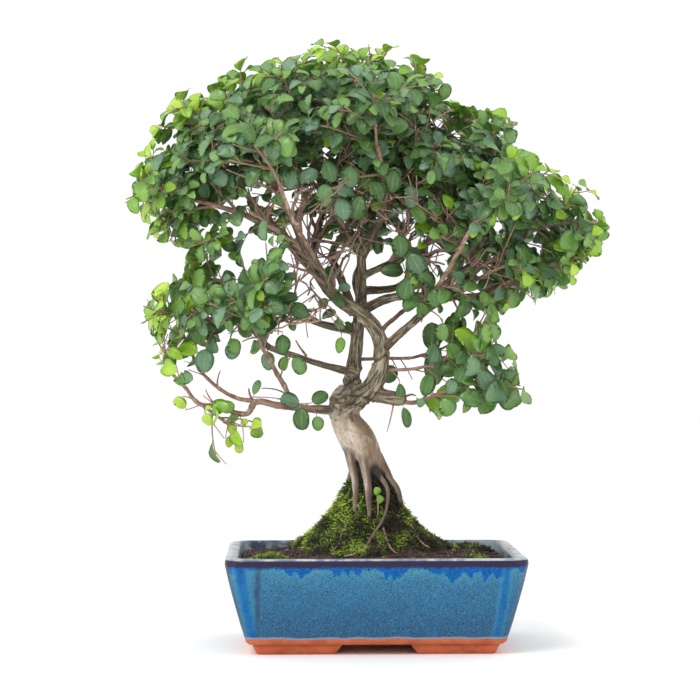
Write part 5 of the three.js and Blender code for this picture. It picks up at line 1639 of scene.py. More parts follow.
def growFilling():
    draw = randomStream(filling["seed"])
    places = [*pads, *innerPads]
    weights = [*fillingWeights, *[pad["weight"] for pad in innerPads]]
    rows = np.array(stemSamples() + thicketRows)
    tips = [shoot["leader"]["points"][-1][:3] for shoot in keyShoots]
    shoots = []
    for spot in tipsIn(places, weights, draw, filling["tries"]):
        if len(shoots) >= filling["limit"]:
            continue
        if not withinCrown(spot + unit(spot - crownMiddle) * filling["edgeRoom"]) or not leafy(spot):
            continue
        if min(sizes(np.array(tips) - spot)) < filling["spacing"]:
            continue
        path, free = reachFor(spot, rows, filling["reach"], filling["radius"])
        if path is None:
            continue
        owner = 2000 + len(shoots)
        if len(free) < 2 or not insideBox(spot) or not woodIsClear([free[0], free[-1]], owner, None, 0.25):
            continue
        addWood([free[0], free[-1]], owner)
        tips.append(spot)
        shoots.append({"path": path, "owner": owner, "draw": randomStream(filling["seed"] + 77 * owner)})
        rows = np.vstack([rows, rowsAlong(path, (4, 6))])
    return shoots


def makeFilling():
    shoots = growFilling()
    leaves = []
    twigs = []
    for shoot in shoots:
        path, owner, draw = shoot["path"], shoot["owner"], shoot["draw"]
        run = lengthOf(path)
        scale = leafScaleAt(path[-1, :3]) * 0.96
        dressShoot(path, owner, scale, draw, max(0.1, 1 - 34 / run), leaves, 1)
        twigs.append(twigPart(path, (0.0, 0.8), 5))
    lots = max(1, math.ceil(len(leaves) / 2200))
    for i in range(lots):
        part = leaves[i::lots]
        foliage(f"innerShoots{i + 1}", bladeParts(part) + twigs[i::lots])
    print("filling shoots", len(shoots), "with", len(leaves), "leaves")


# The pot. Its wall is one turned profile carried round a rounded rectangle, with four feet set into it.

pot = {
    "x": -4,
    "length": 245,
    "depth": 180,
    "cornerRadius": 18,
    "cornerSteps": 14,
    "edgeSteps": 10,
    "outside": [(19.5, 8.5), (17, 10.5), (16.2, 13), (11.8, 27), (4.2, 55), (1, 69), (0, 74), (0.6, 77.5),
                (2.6, 79)],
    "inside": [(8.4, 79), (10.4, 77), (12, 69), (14.6, 55), (22.4, 27), (25.5, 19.5), (29, 17.5)],
    "profileStep": 1.6,
}
feet = {
    "height": 8.5, "topInset": 21.3, "bottomInset": 26, "innerInset": 40, "gapAlongLength": 27,
    "gapAlongDepth": 22, "flare": 7, "sunk": 0.6, "edge": 0.8,
}
drain = {"spacing": 52, "radius": 9, "sheet": 30, "thickness": 1.2}
clearance = 0.35


def potCorner(inset, sideX, sideY, steps):  # the arc of one corner, from the x side to the y side
    radius = max(4, pot["cornerRadius"] - 0.55 * inset)
    angles = np.linspace(0, math.pi / 2, steps + 1)
    x = pot["length"] / 2 - inset - radius + radius * np.cos(angles)
    y = pot["depth"] / 2 - inset - radius + radius * np.sin(angles)
    return np.stack([x * sideX, y * sideY], axis=1)


def levelRing(ring, z):
    return np.column_stack([ring, np.full(len(ring), float(z))])


def potRing(inset, z):
    signs = ((1, 1), (-1, 1), (-1, -1), (1, -1))
    corners = [potCorner(inset, sx, sy, pot["cornerSteps"]) for sx, sy in signs]
    corners[1] = corners[1][::-1]
    corners[3] = corners[3][::-1]
    share = (np.arange(1, pot["edgeSteps"]) / pot["edgeSteps"])[:, None]
    points = []
    for corner, following in zip(corners, corners[1:] + corners[:1]):
        points += [corner, corner[-1] + (following[0] - corner[-1]) * share]
    return levelRing(np.concatenate(points), z)


def footRing(inset, inner, gapLength, gapDepth, z, sideX, sideY):
    along = np.array([0, 0.04, 0.5, 0.96])[:, None]
    arcs = []
    for arc in (potCorner(inset, 1, 1, 12), potCorner(inner, 1, 1, 12)):
        start, end = np.array([[arc[0, 0], gapDepth]]), np.array([[gapLength, arc[-1, 1]]])
        onwards = between((arc[-1:], end), 1 - along[::-1])
        arcs.append(np.concatenate([between((start, arc[:1]), along), arc, onwards]))
    ring = np.concatenate([arcs[0], arcs[1][::-1]]) * np.array([sideX, sideY])
    return levelRing(ring[::-1] if sideX * sideY < 0 else ring, z)


def makeFoot(sideX, sideY):
    rings = []
    top = feet["height"] + feet["sunk"]
    for z, grow in ((0, 1.0), (0.25, 0.4), (feet["edge"], 0), (4, 0), (top, 0)):
        share = z / top
        soft = grow * feet["edge"]
        inset = between((feet["bottomInset"], feet["topInset"]), share) + soft
        opening = feet["flare"] * (1 - min(1, z / feet["height"]))
        rings.append(footRing(inset, feet["innerInset"] - soft, feet["gapAlongLength"] + opening + soft,
                              feet["gapAlongDepth"] + opening + soft, z, sideX, sideY))
    around = len(rings[0])
    i = np.arange(around // 2 - 1)
    low = np.stack([i, around - 1 - i, around - 2 - i, i + 1], axis=1)
    quads = [ringFaces(len(rings), around), low, low[:, ::-1] + (len(rings) - 1) * around]
    return {"v": np.concatenate(rings), "quads": np.concatenate(quads)}


def carved(part, cutters):  # the part with the closed cutters taken away from it
    rough, *tools = [roughShape([shape]) for shape in (part, *cutters)]
    for tool in tools:
        cut = rough.modifiers.new("cut", "BOOLEAN")
        cut.operation = "DIFFERENCE"
        cut.object = tool
    split = rough.modifiers.new("split", "TRIANGULATE")
    split.keep_custom_normals = False
    verts, _, corners = modified(rough, *tools)
    return {"v": verts.reshape(-1, 3), "tris": corners.reshape(-1, 3)}


def plug(x, y, radius, low, high, sides, turn=0.0):
    angles = np.arange(sides) / sides * turnFull + turn
    ring = np.stack([x + radius * np.cos(angles), y + radius * np.sin(angles), 0 * angles], axis=1)
    return loftRings([ring + vec(0, 0, low), ring + vec(0, 0, high)])


def softProfile(points, step):
    line = np.array([(inset, 0, z, 0) for inset, z in points], dtype=float)
    dense = smoothPath(line, step)
    return [(p[0], p[2]) for p in dense]


def makePot(glaze):
    profile = softProfile(pot["outside"], pot["profileStep"]) + softProfile(pot["inside"], pot["profileStep"])
    holes = [plug(side * drain["spacing"], 0, drain["radius"], -1, 40, 28) for side in (-1, 1)]
    parts = [carved(loftRings([potRing(inset, z) for inset, z in profile]), holes)]
    parts += [makeFoot(sx, sy) for sx in (1, -1) for sy in (1, -1)]
    for part in parts:
        x, y, z = part["v"].T
        part["marks"] = {"height": z / 10, "faceX": x / 10, "faceY": y / 10, "inner": innerWall(part["v"]),
                         "share": x / (pot["length"] / 2 - outerInset(z))}
        part["v"] = part["v"] + vec(pot["x"], 0, 0)
    return meshPiece("glazedPot", parts, [glaze], ["pot"])


def outerInset(z):  # how far the outside of the wall has moved in at a height
    insets, heights = np.array(pot["outside"]).T
    return np.interp(z, heights, insets)


def innerWall(v):  # 1 on the inside of the wall, 0 on its outside
    outer = outerInset(v[:, 2])
    radius = np.maximum(4, pot["cornerRadius"] - 0.55 * outer)
    x = np.abs(v[:, 0]) - pot["length"] / 2 + outer + radius
    y = np.abs(v[:, 1]) - pot["depth"] / 2 + outer + radius
    within = radius - np.hypot(np.maximum(x, 0), np.maximum(y, 0)) - np.minimum(np.maximum(x, y), 0)
    return held((within - 2.5) / 3) * (v[:, 2] > 12)


# The soil: a loft inside the pot, with crumbs over it.

crumbs = {"seed": 4242, "count": 3600, "radius": (0.5, 1.9)}
cushionsAt = [(c["x"], c["y"], c["length"] / 2, c["width"] / 2) for c in mossCushions]


def carpetReach(angle):
    return moss["reach"] + 10 * np.sin(3 * angle + 1) + 5 * np.sin(7 * angle)


def mossShare(x, y):  # 1 at the carpet's edge, less inside it
    dx = x - mound["x"]
    dy = (y - mound["y"]) * mound["depthFactor"]
    return np.hypot(dx, dy) / carpetReach(np.arctan2(dy, dx))


def soilRing(inset, z):
    ring = potRing(inset, z)
    ring[:, 0] += pot["x"]
    return ring


def makeSoil(soilMaterial):
    inside = pot["inside"]
    topInset, topHeight = next((inset, z) for inset, z in inside if z < soilLevel)
    rings = []
    for inset, z in reversed([p for p in inside if p[1] < topHeight]):
        rings.append(soilRing(inset + clearance * 1.2, z + clearance))
    outline = soilRing(topInset + clearance, topHeight)
    rings.append(outline)
    for share in np.linspace(0.985, 0.03, 46):
        ring = np.array([mound["x"], mound["y"], 0]) + (outline - vec(mound["x"], mound["y"], 0)) * share
        ring[:, 2] = soilHeight(ring[:, 0], ring[:, 1])
        loose = softNoise(ring, 5, 8, 2) * 0.9 + softNoise(ring, 1.6, 18) * 0.5
        ring[:, 2] += loose * min(1, (0.985 - share) * 14)
        rings.append(ring)
    recess = drain["sheet"] + 2 * clearance
    middle = inside[-1][1] + drain["thickness"] + 2 * clearance
    holes = [plug(pot["x"] + side * drain["spacing"], 0, recess / math.sqrt(2), middle - 8, middle, 4,
                  math.pi / 4) for side in (-1, 1)]
    body = carved(loftRings(rings), holes)
    body["marks"] = {"grain": np.full(len(body["v"]), 0.25)}
    meshPiece("pottingSoil", [body, makeCrumbs()], [soilMaterial], ["soil"])


def lumpShape():  # a lump with five corners round its middle
    turns = np.arange(5) / 5 * turnFull
    ring = [(math.cos(a), math.sin(a), 0.1 * (i % 2) - 0.05) for i, a in enumerate(turns)]
    tris = [face for i in range(5) for j in ((i + 1) % 5,) for face in ((0, 1 + j, 1 + i), (6, 1 + i, 1 + j))]
    return np.array([(0, 0, -0.8), *ring, (0.15, 0.1, 0.85)]), np.array(tris)


def makeCrumbs():
    draw = np.random.default_rng(crumbs["seed"])
    halfX = pot["length"] / 2 - 16
    halfY = pot["depth"] / 2 - 16
    x = draw.uniform(-halfX, halfX, crumbs["count"] * 3) + pot["x"]
    y = draw.uniform(-halfY, halfY, crumbs["count"] * 3)
    bare = mossShare(x, y) > 0.93 + 0.1 * draw.random(len(x))
    x, y = x[bare][:crumbs["count"]], y[bare][:crumbs["count"]]
    many = len(x)
    verts, tris = lumpShape()
    radius = between(crumbs["radius"], draw.random(many) ** 3)
    turn = draw.random(many) * turnFull
    c, s = np.cos(turn), np.sin(turn)
    stretch = 0.7 + 0.6 * draw.random((many, 1, 3))
    lumps = verts[None] * (1 + 0.3 * (draw.random((many, len(verts), 1)) - 0.5)) * stretch
    spun = np.stack([lumps[:, :, 0] * c[:, None] - lumps[:, :, 1] * s[:, None],
                     lumps[:, :, 0] * s[:, None] + lumps[:, :, 1] * c[:, None], lumps[:, :, 2]], axis=2)
    spots = np.stack([x, y, soilHeight(x, y) + 0.35 * radius], axis=1)
    v = spots[:, None, :] + spun * radius[:, None, None]
    faces = tris[None] + (np.arange(many) * len(verts))[:, None, None]
    return {"v": v.reshape(-1, 3), "tris": faces.reshape(-1, 3),
            "marks": {"grain": np.repeat(draw.random(many), len(verts))}}


# The moss: a closed lumpy skin with thousands of small shoots on it.

mossShoots = {
    "seed": 777,
    "count": 15500,
    "length": (2.2, 5.6),
    "width": (0.35, 0.75),
    "tuft": 7.5,  # how far apart the tufts are
    "rooted": 8,
    "around": 220,
    "onCushion": 900,
}


def slopeNormals(x, y, heightOf):
    e = 0.4
    gx = (heightOf(x + e, y) - heightOf(x - e, y)) / (2 * e)
    gy = (heightOf(x, y + e) - heightOf(x, y - e)) / (2 * e)
    n = np.stack([-gx, -gy, np.ones_like(gx)], axis=1)
    return n / sizes(n)[:, None]


def tuftCentres(x, y, gap):  # the nearest tuft's middle, for every place
    best = np.full(len(x), 1e9)
    spot = np.zeros((len(x), 2))
    cellX, cellY = np.floor(x / gap), np.floor(y / gap)
    for dx in (-1, 0, 1):
        for dy in (-1, 0, 1):
            cell = np.stack([cellX + dx, cellY + dy, np.zeros_like(cellX)], axis=1) + 500
            cx = (cellX + dx + 0.15 + 0.7 * lattice(cell, 5)) * gap
            cy = (cellY + dy + 0.15 + 0.7 * lattice(cell, 6)) * gap
            away = np.hypot(x - cx, y - cy)
            closer = away < best
            best = np.where(closer, away, best)
            spot[closer] = np.stack([cx, cy], axis=1)[closer]
    return spot, best


def lumpyMoss(x, y):
    _, away = tuftCentres(x, y, mossShoots["tuft"])
    return 1.3 - 0.5 * (away / mossShoots["tuft"] * 2.2) ** 2


def growMossShoots(x, y, heightOf, draw, gap):
    many = len(x)
    spot, _ = tuftCentres(x, y, gap)
    normals = slopeNormals(x, y, heightOf)
    outward = np.stack([x - spot[:, 0], y - spot[:, 1], np.zeros(many)], axis=1) / gap
    steep = 1 - normals[:, 2]
    heading = normals + outward * 1.5 + draw.normal(0, 0.3, (many, 3))
    heading[:, 2] += 0.25 - 1.1 * steep
    heading /= sizes(heading)[:, None]
    length = between(mossShoots["length"], draw.random(many)) * (1 + 0.8 * steep)
    width = between(mossShoots["width"], draw.random(many))
    base = np.stack([x, y, heightOf(x, y) + lumpyMoss(x, y) - 1.2], axis=1)
    side = np.cross(heading, np.array([0.3, 0.5, 0.81]))
    side /= sizes(side)[:, None]
    circle = circles(side, np.cross(heading, side), 3)
    bend = draw.normal(0, 0.16, (many, 3)) * length[:, None]
    bend[:, 2] -= length * 0.12 * (1 + 2 * steep)
    rings = [(base + heading * (length * reach)[:, None] + bend * reach ** 2)[:, None]
             + circle * (width * thick)[:, None, None] for reach, thick in ((0, 0.55), (0.55, 1.0))]
    verts = np.concatenate([*rings, (base + heading * length[:, None] + bend)[:, None]], axis=1)
    tris = np.array([(0, 2, 1), (3, 4, 6), (4, 5, 6), (5, 3, 6)])
    tone = held(0.5 + 0.3 * softNoise(np.stack([x, y, 0 * x], 1), 13, 3) + draw.normal(0, 0.16, many))
    return {"v": verts.reshape(-1, 3), **copies(ringFaces(2, 3), tris, many, 7),
            "marks": {"tip": np.tile([0.1, 0.1, 0.1, 0.6, 0.6, 0.6, 1.0], many), "tone": np.repeat(tone, 7)}}


def mossRing(share, heightOf):
    angle = np.arange(mossShoots["around"]) / mossShoots["around"] * turnFull
    reach = carpetReach(angle) * share
    x = mound["x"] + reach * np.cos(angle)
    y = mound["y"] + reach * np.sin(angle) / mound["depthFactor"]
    return np.stack([x, y, heightOf(x, y)], axis=1)


def mossGround(x, y, edge):  # bare soil at the carpet's edge, and the full mound further in
    return soilHeight(x, y) * (1 - edge) + groundHeight(x, y) * edge


def mossPiece(name, body, tone, shoots, mossMaterial, node):
    body["marks"] = {"tip": np.full(len(body["v"]), 0.0), "tone": tone}
    meshPiece(name, [body, shoots], [mossMaterial], [node])


def makeMoss(mossMaterial):
    rings = [mossRing(1, lambda x, y: 0 * x + soilLevel - mossShoots["rooted"])]
    for share, rise in ((1, -1.0), (1, 0.5), (0.99, 1.4)):
        rings.append(mossRing(share, lambda x, y: soilHeight(x, y) + rise))
    for share in np.linspace(0.97, 0.03, 58):
        edge = min(1, (0.99 - share) / 0.1)
        rings.append(mossRing(share, lambda x, y: mossGround(x, y, edge)
                              + lumpyMoss(x, y) * (0.4 + 0.6 * edge) - 0.6 * edge))
    body = loftRings(rings)
    draw = np.random.default_rng(mossShoots["seed"])
    tries = mossShoots["count"] * 3
    x = mound["x"] + draw.uniform(-82, 82, tries)
    y = mound["y"] + draw.uniform(-66, 66, tries)
    inside = mossShare(x, y) < 0.985
    x, y = x[inside][:mossShoots["count"]], y[inside][:mossShoots["count"]]

    def top(px, py):
        edge = held((0.99 - mossShare(px, py)) / 0.1)
        return mossGround(px, py, edge) - 0.6 * edge

    shoots = growMossShoots(x, y, top, draw, mossShoots["tuft"])
    tone = held(0.4 + 0.4 * softNoise(body["v"], 11, 3))
    mossPiece("mossCarpet", body, tone, shoots, mossMaterial, "moss_carpet")
    for i, cushion in enumerate(mossCushions):
        makeCushion(i, cushion, mossMaterial)


def makeCushion(i, cushion, mossMaterial):
    around = 60

    def spotAt(share, angle):
        uneven = 1 + 0.12 * np.sin(3 * angle)
        return (cushion["x"] + share * uneven * cushion["length"] * np.cos(angle) / 2,
                cushion["y"] + share * uneven * cushion["width"] * np.sin(angle) / 2)

    def ringAt(share, rise):
        x, y = spotAt(share, np.arange(around) / around * turnFull)
        return np.stack([x, y, soilHeight(x, y) + rise], axis=1)

    def top(px, py):
        out = np.hypot((px - cushion["x"]) / (cushion["length"] / 2),
                       (py - cushion["y"]) / (cushion["width"] / 2))
        return soilHeight(px, py) + cushion["height"] * (1 - np.minimum(1, out) ** 2.4) * 0.8 - 0.6

    rings = [ringAt(1, -mossShoots["rooted"]), ringAt(1, -0.5)]
    for share in np.linspace(1, 0.05, 14):
        rings.append(ringAt(share, cushion["height"] * (1 - share ** 2.4) * 0.8 + 0.2))
    body = loftRings(rings)
    body["v"][around * 2:, 2] += softNoise(body["v"], 4, 30 + i, 2)[around * 2:] * 0.8
    draw = np.random.default_rng(mossShoots["seed"] + i + 1)
    turn = draw.random(mossShoots["onCushion"]) * turnFull
    x, y = spotAt(np.sqrt(draw.random(mossShoots["onCushion"])) * 0.96, turn)
    shoots = growMossShoots(x, y, top, draw, 5.0)
    mossPiece(f"mossCushion{i + 1}", body, np.full(len(body["v"]), 0.4), shoots, mossMaterial,
              f"moss_cushion_{i + 1}")


# Finishes


def makeBark():
    n = Nodes("bark")
    places = {"X": n.mark("around"), "Y": n.mark("across"), "Z": n.mark("along")}
    wood3 = n.add("ShaderNodeCombineXYZ", places)
    wood3 = wood3.outputs["Vector"]
    streaks = n.noise(n.stretch(wood3, 1, 1, 0.16), 5.5, 4, 0.6)
    threads = n.noise(n.stretch(wood3, 1, 1, 0.1), 14, 3, 0.65)
    patches = n.noise(n.stretch(wood3, 1, 1, 0.5), 1.2, 3, 0.55)
    grain = n.noise(n.stretch(wood3, 1, 1, 0.4), 18, 3, 0.6)
    pits = n.cells(n.stretch(wood3, 1, 1, 0.7), 6)
    # painted light: the bark paler on the side where the light falls, mixed with patches
    sunny = n.plus(n.mark("sunny"), n.times(n.minus(patches, 0.5), 0.9))
    pale = n.colours(sunny, [(0.1, (132, 110, 90)), (0.34, (164, 144, 122)), (0.6, (196, 180, 160)),
                             (0.9, (218, 204, 190))])
    pale = n.stains(pale, [
        (streaks, (0.54, 0.7, 0, 0.6), (124, 102, 82)), (threads, (0.54, 0.62, 0, 0.35), (98, 76, 62))])
    ochre = n.ramp(n.noise(wood3, 0.7, 2, 0.5), 0.6, 0.74, 0, 0.35)
    pale = n.mix(ochre, pale, tint(180, 136, 84))
    algae = n.noise(n.stretch(wood3, 1, 1, 0.6), 2.4, 4, 0.65)
    pale = n.stains(pale, [
        (algae, (0.5, 0.64, 0, 0.5), (146, 130, 124)), (algae, (0.36, 0.46, 0.5, 0), (140, 132, 92)),
        (pits, (0.07, 0.13, 0.85, 0.0), (66, 48, 42))])
    dull = n.colours(patches, [(0.3, (98, 86, 70)), (0.45, (130, 118, 92)), (0.58, (156, 146, 116)),
                               (0.72, (122, 122, 82))])
    dull = n.stains(dull, [
        (streaks, (0.43, 0.56, 0, 0.95), (52, 44, 36)), (threads, (0.54, 0.6, 0, 0.6), (168, 158, 134))])
    base = n.mix(n.mark("oldBark"), pale, dull)
    base = n.stain(base, n.mark("slim"), (0.1, 0.9, 0, 0.75), (164, 122, 108))
    # painted shade darkens the trunk's creases; on the thin limbs the same mark is random
    crease = n.ramp(n.mark("crease"), 0.45, 0.85, 0, 0.72)
    base = n.mix(crease, base, tint(78, 58, 46))
    # paler on the ridges; the dark mark lays painted shade into the hollow, folds, knots and behind the
    # roots, and darkens the foot and the thin root
    base = n.stains(base, [
        (n.mark("crease"), (0.1, 0.35, 0.3, 0.0), (232, 220, 204)),
        (n.mark("dark"), (0.12, 0.8, 0, 0.95), (38, 28, 26))])
    height = n.plus(n.times(streaks, -0.7), n.times(grain, 0.3))
    normal = n.bump(n.plus(height, n.times(threads, 0.3)), 0.7, 0.0009)
    return n.finish(n.surface(Base_Color=base, Roughness=0.78, Normal=normal))


def makeTwigBark():
    n = Nodes("twigBark")
    spots = n.noise(n.place(), 900, 2, 0.6)
    old = n.mix(n.ramp(spots, 0.4, 0.65), tint(158, 126, 116), tint(108, 84, 78))
    new = n.mix(n.ramp(spots, 0.4, 0.65), tint(170, 128, 96), tint(134, 138, 70))
    base = n.mix(n.mark("young"), old, new)
    base = n.mix(n.mark("bleached"), base, tint(178, 152, 136))
    return n.finish(n.surface(Base_Color=base, Roughness=0.62, Normal=n.bump(spots, 0.3, 0.0003)))


def makeLeaf():
    n = Nodes("leaf")
    uv = n.add("ShaderNodeUVMap", uv_map="bladeMap").outputs["UV"]
    parts = n.add("ShaderNodeSeparateXYZ", {"Vector": uv})
    fromRib = n.math("ABSOLUTE", n.minus(parts.outputs["X"], 0.5))
    rib = n.ramp(fromRib, 0.012, 0.045, 1, 0)
    slant = n.minus(parts.outputs["Y"], n.times(fromRib, 0.62))
    wave = n.math("FRACT", n.times(slant, 7.0))
    vein = n.ramp(n.math("ABSOLUTE", n.minus(wave, 0.5)), 0.0, 0.12, 1, 0)
    tone = n.mark("tone")
    chance = n.mark("chance")
    mottle = n.noise(n.place(), 260, 3, 0.6)
    shift = n.plus(tone, n.times(n.minus(mottle, 0.5), 0.22))
    # high tones give lime: the young leaves' own colour, at the crown's rim also painted glow of light
    # through them
    green = n.colours(shift, [(0.0, (54, 88, 48)), (0.14, (80, 122, 62)), (0.34, (120, 166, 78)),
                              (0.6, (138, 186, 50)), (0.8, (162, 208, 42)), (1.0, (196, 226, 80))])
    # some darker leaves turn pale bluish-grey: partly the older leaves' own colour, partly painted sheen
    bluishAndSheen = n.ramp(chance, 0.5, 0.95, 0, 0.7)
    bluishAndSheen = n.times(bluishAndSheen, n.ramp(tone, 0.35, 0.7, 1, 0))
    green = n.mix(bluishAndSheen, green, tint(120, 156, 134))
    pale = n.mix(0.5, green, tint(168, 196, 128))
    base = n.mix(n.times(vein, 0.3), green, pale)
    base = n.mix(n.times(rib, 0.7), base, pale)
    base = n.mix(n.ramp(fromRib, 0.42, 0.5, 0, 0.6), base, pale)
    worn = n.times(n.ramp(mottle, 0.5, 0.62), n.ramp(fromRib, 0.26, 0.46, 0, 0.9))
    worn = n.times(worn, n.ramp(n.math("FRACT", n.times(chance, 7.0)), 0.84, 0.88))
    base = n.mix(worn, base, tint(122, 88, 60))
    base = n.stain(base, n.mark("under"), (0.5, 0.95, 0, 0.6), (112, 142, 92))
    relief = n.minus(n.times(mottle, 0.4), n.plus(n.times(vein, 0.5), rib))
    normal = n.bump(relief, 0.35, 0.0004)
    face = n.surface(Base_Color=base, Roughness=0.36, Normal=normal, Specular_IOR_Level=0.45,
                     Coat_Weight=0.42, Coat_Roughness=0.18)
    glow = n.add("ShaderNodeBsdfTranslucent", {"Color": n.mix(0.5, base, tint(166, 222, 30))}).outputs["BSDF"]
    both = n.add("ShaderNodeMixShader", {"Fac": 0.28})
    n.tree.links.new(face, both.inputs[1])
    n.tree.links.new(glow, both.inputs[2])
    return n.finish(both.outputs["Shader"])


def makeMossFinish():
    n = Nodes("moss")
    spots = n.noise(n.place(), 700, 2, 0.6)
    patch = n.noise(n.place(), 75, 3, 0.55)
    tip = n.mark("tip")
    # painted light and shade: the moss lighter on the mound's left and darker on its right
    where = n.add("ShaderNodeSeparateXYZ", {"Vector": n.place()}).outputs["X"]
    side = n.ramp(where, -0.03, 0.05, 0.1, -0.16)
    tone = n.plus(n.mark("tone"), n.times(n.minus(patch, 0.5), 2.3))
    tone = n.plus(tone, side)
    # deep: painted shade down in the carpet and at the shoots' bases, together with their browner old stems;
    # lit: the shoots' green tips
    deep = n.mix(n.ramp(tone, 0.3, 0.7), tint(36, 27, 24), tint(40, 50, 22))
    lit = n.colours(tone, [(0.12, (56, 44, 36)), (0.38, (66, 70, 40)), (0.56, (88, 106, 42)),
                           (0.76, (128, 156, 50)), (0.98, (182, 204, 84))])
    base = n.mix(n.ramp(tip, 0.0, 0.9), deep, lit)
    base = n.stain(base, spots, (0.6, 0.75, 0, 0.4), (58, 44, 34))
    return n.finish(n.surface(Base_Color=base, Roughness=0.85, Normal=n.bump(spots, 0.5, 0.0006)))


def makeSoilFinish():
    n = Nodes("damp soil")
    spots = n.noise(n.place(), 620, 4, 0.7)
    clods = n.noise(n.place(), 150, 3, 0.6)
    grain = n.mark("grain")
    base = n.colours(clods, [(0.3, (44, 32, 30)), (0.5, (66, 48, 46)), (0.7, (92, 68, 64))])
    base = n.stains(base, [
        (grain, (0.5, 0.9, 0, 0.6), (118, 88, 82)), (grain, (0.965, 0.985, 0, 0.8), (176, 160, 146)),
        (spots, (0.58, 0.7, 0, 0.6), (34, 25, 23))])
    height = n.plus(spots, clods)
    return n.finish(n.surface(Base_Color=base, Roughness=0.88, Normal=n.bump(height, 0.8, 0.0015)))


def makeMeshFinish():
    n = Nodes("plastic mesh")
    spots = n.noise(n.place(), 400, 2, 0.5)
    base = n.mix(spots, (0.018, 0.02, 0.019), (0.03, 0.033, 0.032))
    return n.finish(n.surface(Base_Color=base, Roughness=0.55))


glazeRuns = [  # share of the front's half length at the rim and at the foot, half width, depth of colour
    ("cobalt", -0.9, -0.935, 0.034, 0.95), ("dark", -0.775, -0.9, 0.016, 0.6),
    ("cobalt", 0.855, 0.905, 0.024, 0.9), ("cobalt", 0.44, 0.43, 0.012, 0.18),
]


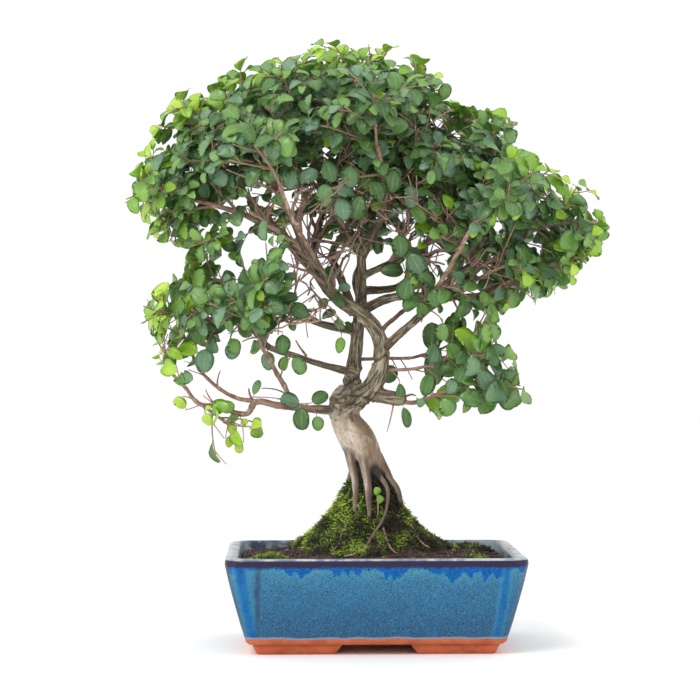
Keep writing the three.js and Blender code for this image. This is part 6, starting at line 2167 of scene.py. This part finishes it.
def makeGlaze():
    n = Nodes("running glaze")
    x, y, z = n.mark("faceX"), n.mark("faceY"), n.mark("height")
    wall = n.add("ShaderNodeCombineXYZ", {"X": x, "Y": y, "Z": z}).outputs["Vector"]
    column = n.add("ShaderNodeCombineXYZ", {"X": x, "Y": y, "Z": 0.0}).outputs["Vector"]
    slow = n.noise(column, 0.42, 2, 0.5)
    quick = n.noise(column, 1.25, 2, 0.5)
    clouds = n.noise(wall, 0.7, 4, 0.6)
    fine = n.noise(wall, 12, 3, 0.75)
    grit = n.noise(wall, 26, 2, 0.7)
    speck = n.cells(wall, 3.4)
    star = n.cells(n.stretch(wall, 1.3, 1.3, 1.1), 2.1)
    height = n.plus(n.times(z, 0.125), n.times(n.minus(clouds, 0.5), 0.5))
    body = n.colours(height, [(0.12, (46, 80, 116)), (0.4, (44, 90, 130)), (0.62, (48, 102, 142)),
                              (0.8, (56, 114, 150)), (0.9, (68, 126, 154))])
    body = n.stains(body, [
        (fine, (0.5, 0.6, 0, 0.85), (20, 44, 80)), (fine, (0.38, 0.47, 0.65, 0), (74, 138, 158)),
        (grit, (0.6, 0.68, 0, 0.6), (104, 164, 176)), (speck, (0.03, 0.07, 0.85, 0), (10, 18, 36)),
        (star, (0.02, 0.04, 0.9, 0), (200, 220, 226))])
    # the glaze breaks to mauve at the rim, with runs of cobalt under it that have a turquoise fringe
    rough = n.times(n.minus(fine, 0.5), 0.7)
    edge = n.plus(n.times(slow, -0.5), 7.3)
    drips = n.times(n.times(n.ramp(slow, 0.42, 0.6), n.ramp(quick, 0.3, 0.72)), 1.35)
    under = n.minus(n.plus(z, rough), n.minus(edge, drips))
    fringe = n.times(n.ramp(under, -0.5, -0.05), n.ramp(fine, 0.42, 0.6, 0.6, 0.1))
    body = n.mix(fringe, body, tint(66, 144, 168))
    cobalt = n.mix(n.ramp(fine, 0.42, 0.58), tint(0, 104, 178), tint(12, 56, 116))
    body = n.mix(n.ramp(under, -0.12, 0.14), body, cobalt)
    share = n.times(n.mark("share"), n.times(n.math("SIGN", y), -1.0))
    wander = n.times(n.minus(n.noise(n.stretch(wall, 1, 1, 0.6), 1.6, 2), 0.5), 0.035)
    for kind, top, foot, width, depth in glazeRuns:
        middle = n.plus(n.times(z, (top - foot) / 5.9), foot - (top - foot) * 1.2 / 5.9)
        away = n.math("ABSOLUTE", n.minus(n.plus(share, wander), middle))
        ragged = n.plus(away, n.times(rough, 0.06))
        mask = n.times(n.ramp(ragged, width * 0.4, width * 1.5, 1, 0), depth)
        mask = n.times(mask, n.ramp(clouds, 0.38, 0.58, 1, 0.72))
        if kind == "cobalt":
            halo = n.ramp(away, width, width * 2.6, 0.45 * depth, 0)
            body = n.mix(halo, body, tint(60, 136, 160))
            body = n.mix(mask, body, cobalt)
        else:
            body = n.mix(mask, body, tint(44, 46, 70))
    mauve = n.mix(n.ramp(fine, 0.42, 0.6), tint(52, 38, 58), tint(28, 34, 68))
    mauve = n.stain(mauve, grit, (0.56, 0.7, 0, 0.4), (92, 80, 104))
    band = n.plus(n.plus(z, n.times(rough, 0.5)), n.times(quick, 0.3))
    body = n.mix(n.ramp(band, 7.25, 7.5), body, mauve)
    arris = n.times(n.ramp(n.math("ABSOLUTE", n.mark("share")), 0.965, 0.992),
                    n.ramp(clouds, 0.3, 0.5, 0.35, 0.85))
    ends = n.times(arris, n.ramp(n.math("ABSOLUTE", y), 6.9, 7.6))
    body = n.mix(ends, body, tint(52, 40, 48))
    pale = n.mix(n.ramp(clouds, 0.42, 0.6), tint(186, 192, 192), tint(116, 132, 148))
    pale = n.stain(pale, fine, (0.5, 0.66, 0, 0.5), (70, 84, 106))
    body = n.mix(n.ramp(z, 7.74, 7.82), body, pale)
    lining = n.mix(n.ramp(clouds, 0.4, 0.62), tint(150, 162, 168), tint(64, 78, 98))
    lining = n.stain(lining, fine, (0.5, 0.64, 0, 0.6), (52, 62, 84))
    body = n.mix(n.mark("inner"), body, lining)
    # the glaze ends in a pale line over the bare clay
    foot = n.plus(z, n.times(n.minus(slow, 0.5), 0.35))
    line = n.times(n.ramp(foot, 1.3, 1.38), n.ramp(foot, 1.42, 1.56, 1, 0))
    body = n.mix(n.times(line, 0.75), body, tint(140, 150, 164))
    clay = n.mix(n.ramp(clouds, 0.35, 0.7), tint(194, 104, 70), tint(166, 84, 58))
    clay = n.stains(clay, [
        (fine, (0.5, 0.7, 0, 0.35), (132, 70, 54)), (speck, (0.05, 0.1, 0.5, 0), (90, 50, 44))])
    bare = n.ramp(foot, 1.32, 1.36, 1, 0)
    base = n.mix(bare, body, clay)
    gloss = n.plus(n.times(bare, 0.55), n.ramp(grit, 0.3, 0.7, 0.16, 0.3))
    normal = n.bump(n.plus(n.times(fine, 0.35), clouds), 0.14, 0.001)
    return n.finish(n.surface(Base_Color=base, Roughness=gloss, Normal=normal, Specular_IOR_Level=0.12))


# Everything is made here

bark = makeBark()
twigBark = makeTwigBark()
leafFinish = makeLeaf()
mossFinish = makeMossFinish()

keyShoots = growKeyShoots()
seedling = growSprout()
print("shoots grown", len(keyShoots))

makeTrunk()
makeLimbs()
print("wood made")

makeThicket()
makeLoneLeaves()
makeSprays()
makeSpurs()
makeFilling()
makeSprout()

makePot(makeGlaze())
makeSoil(makeSoilFinish())
makeMoss(mossFinish)
print("pot, soil and moss made")

meshFinish = makeMeshFinish()
for name in ("drain_screen_left", "drain_screen_right"):
    for slot in bpy.data.objects[name].material_slots:
        slot.material = meshFinish

print("finished")
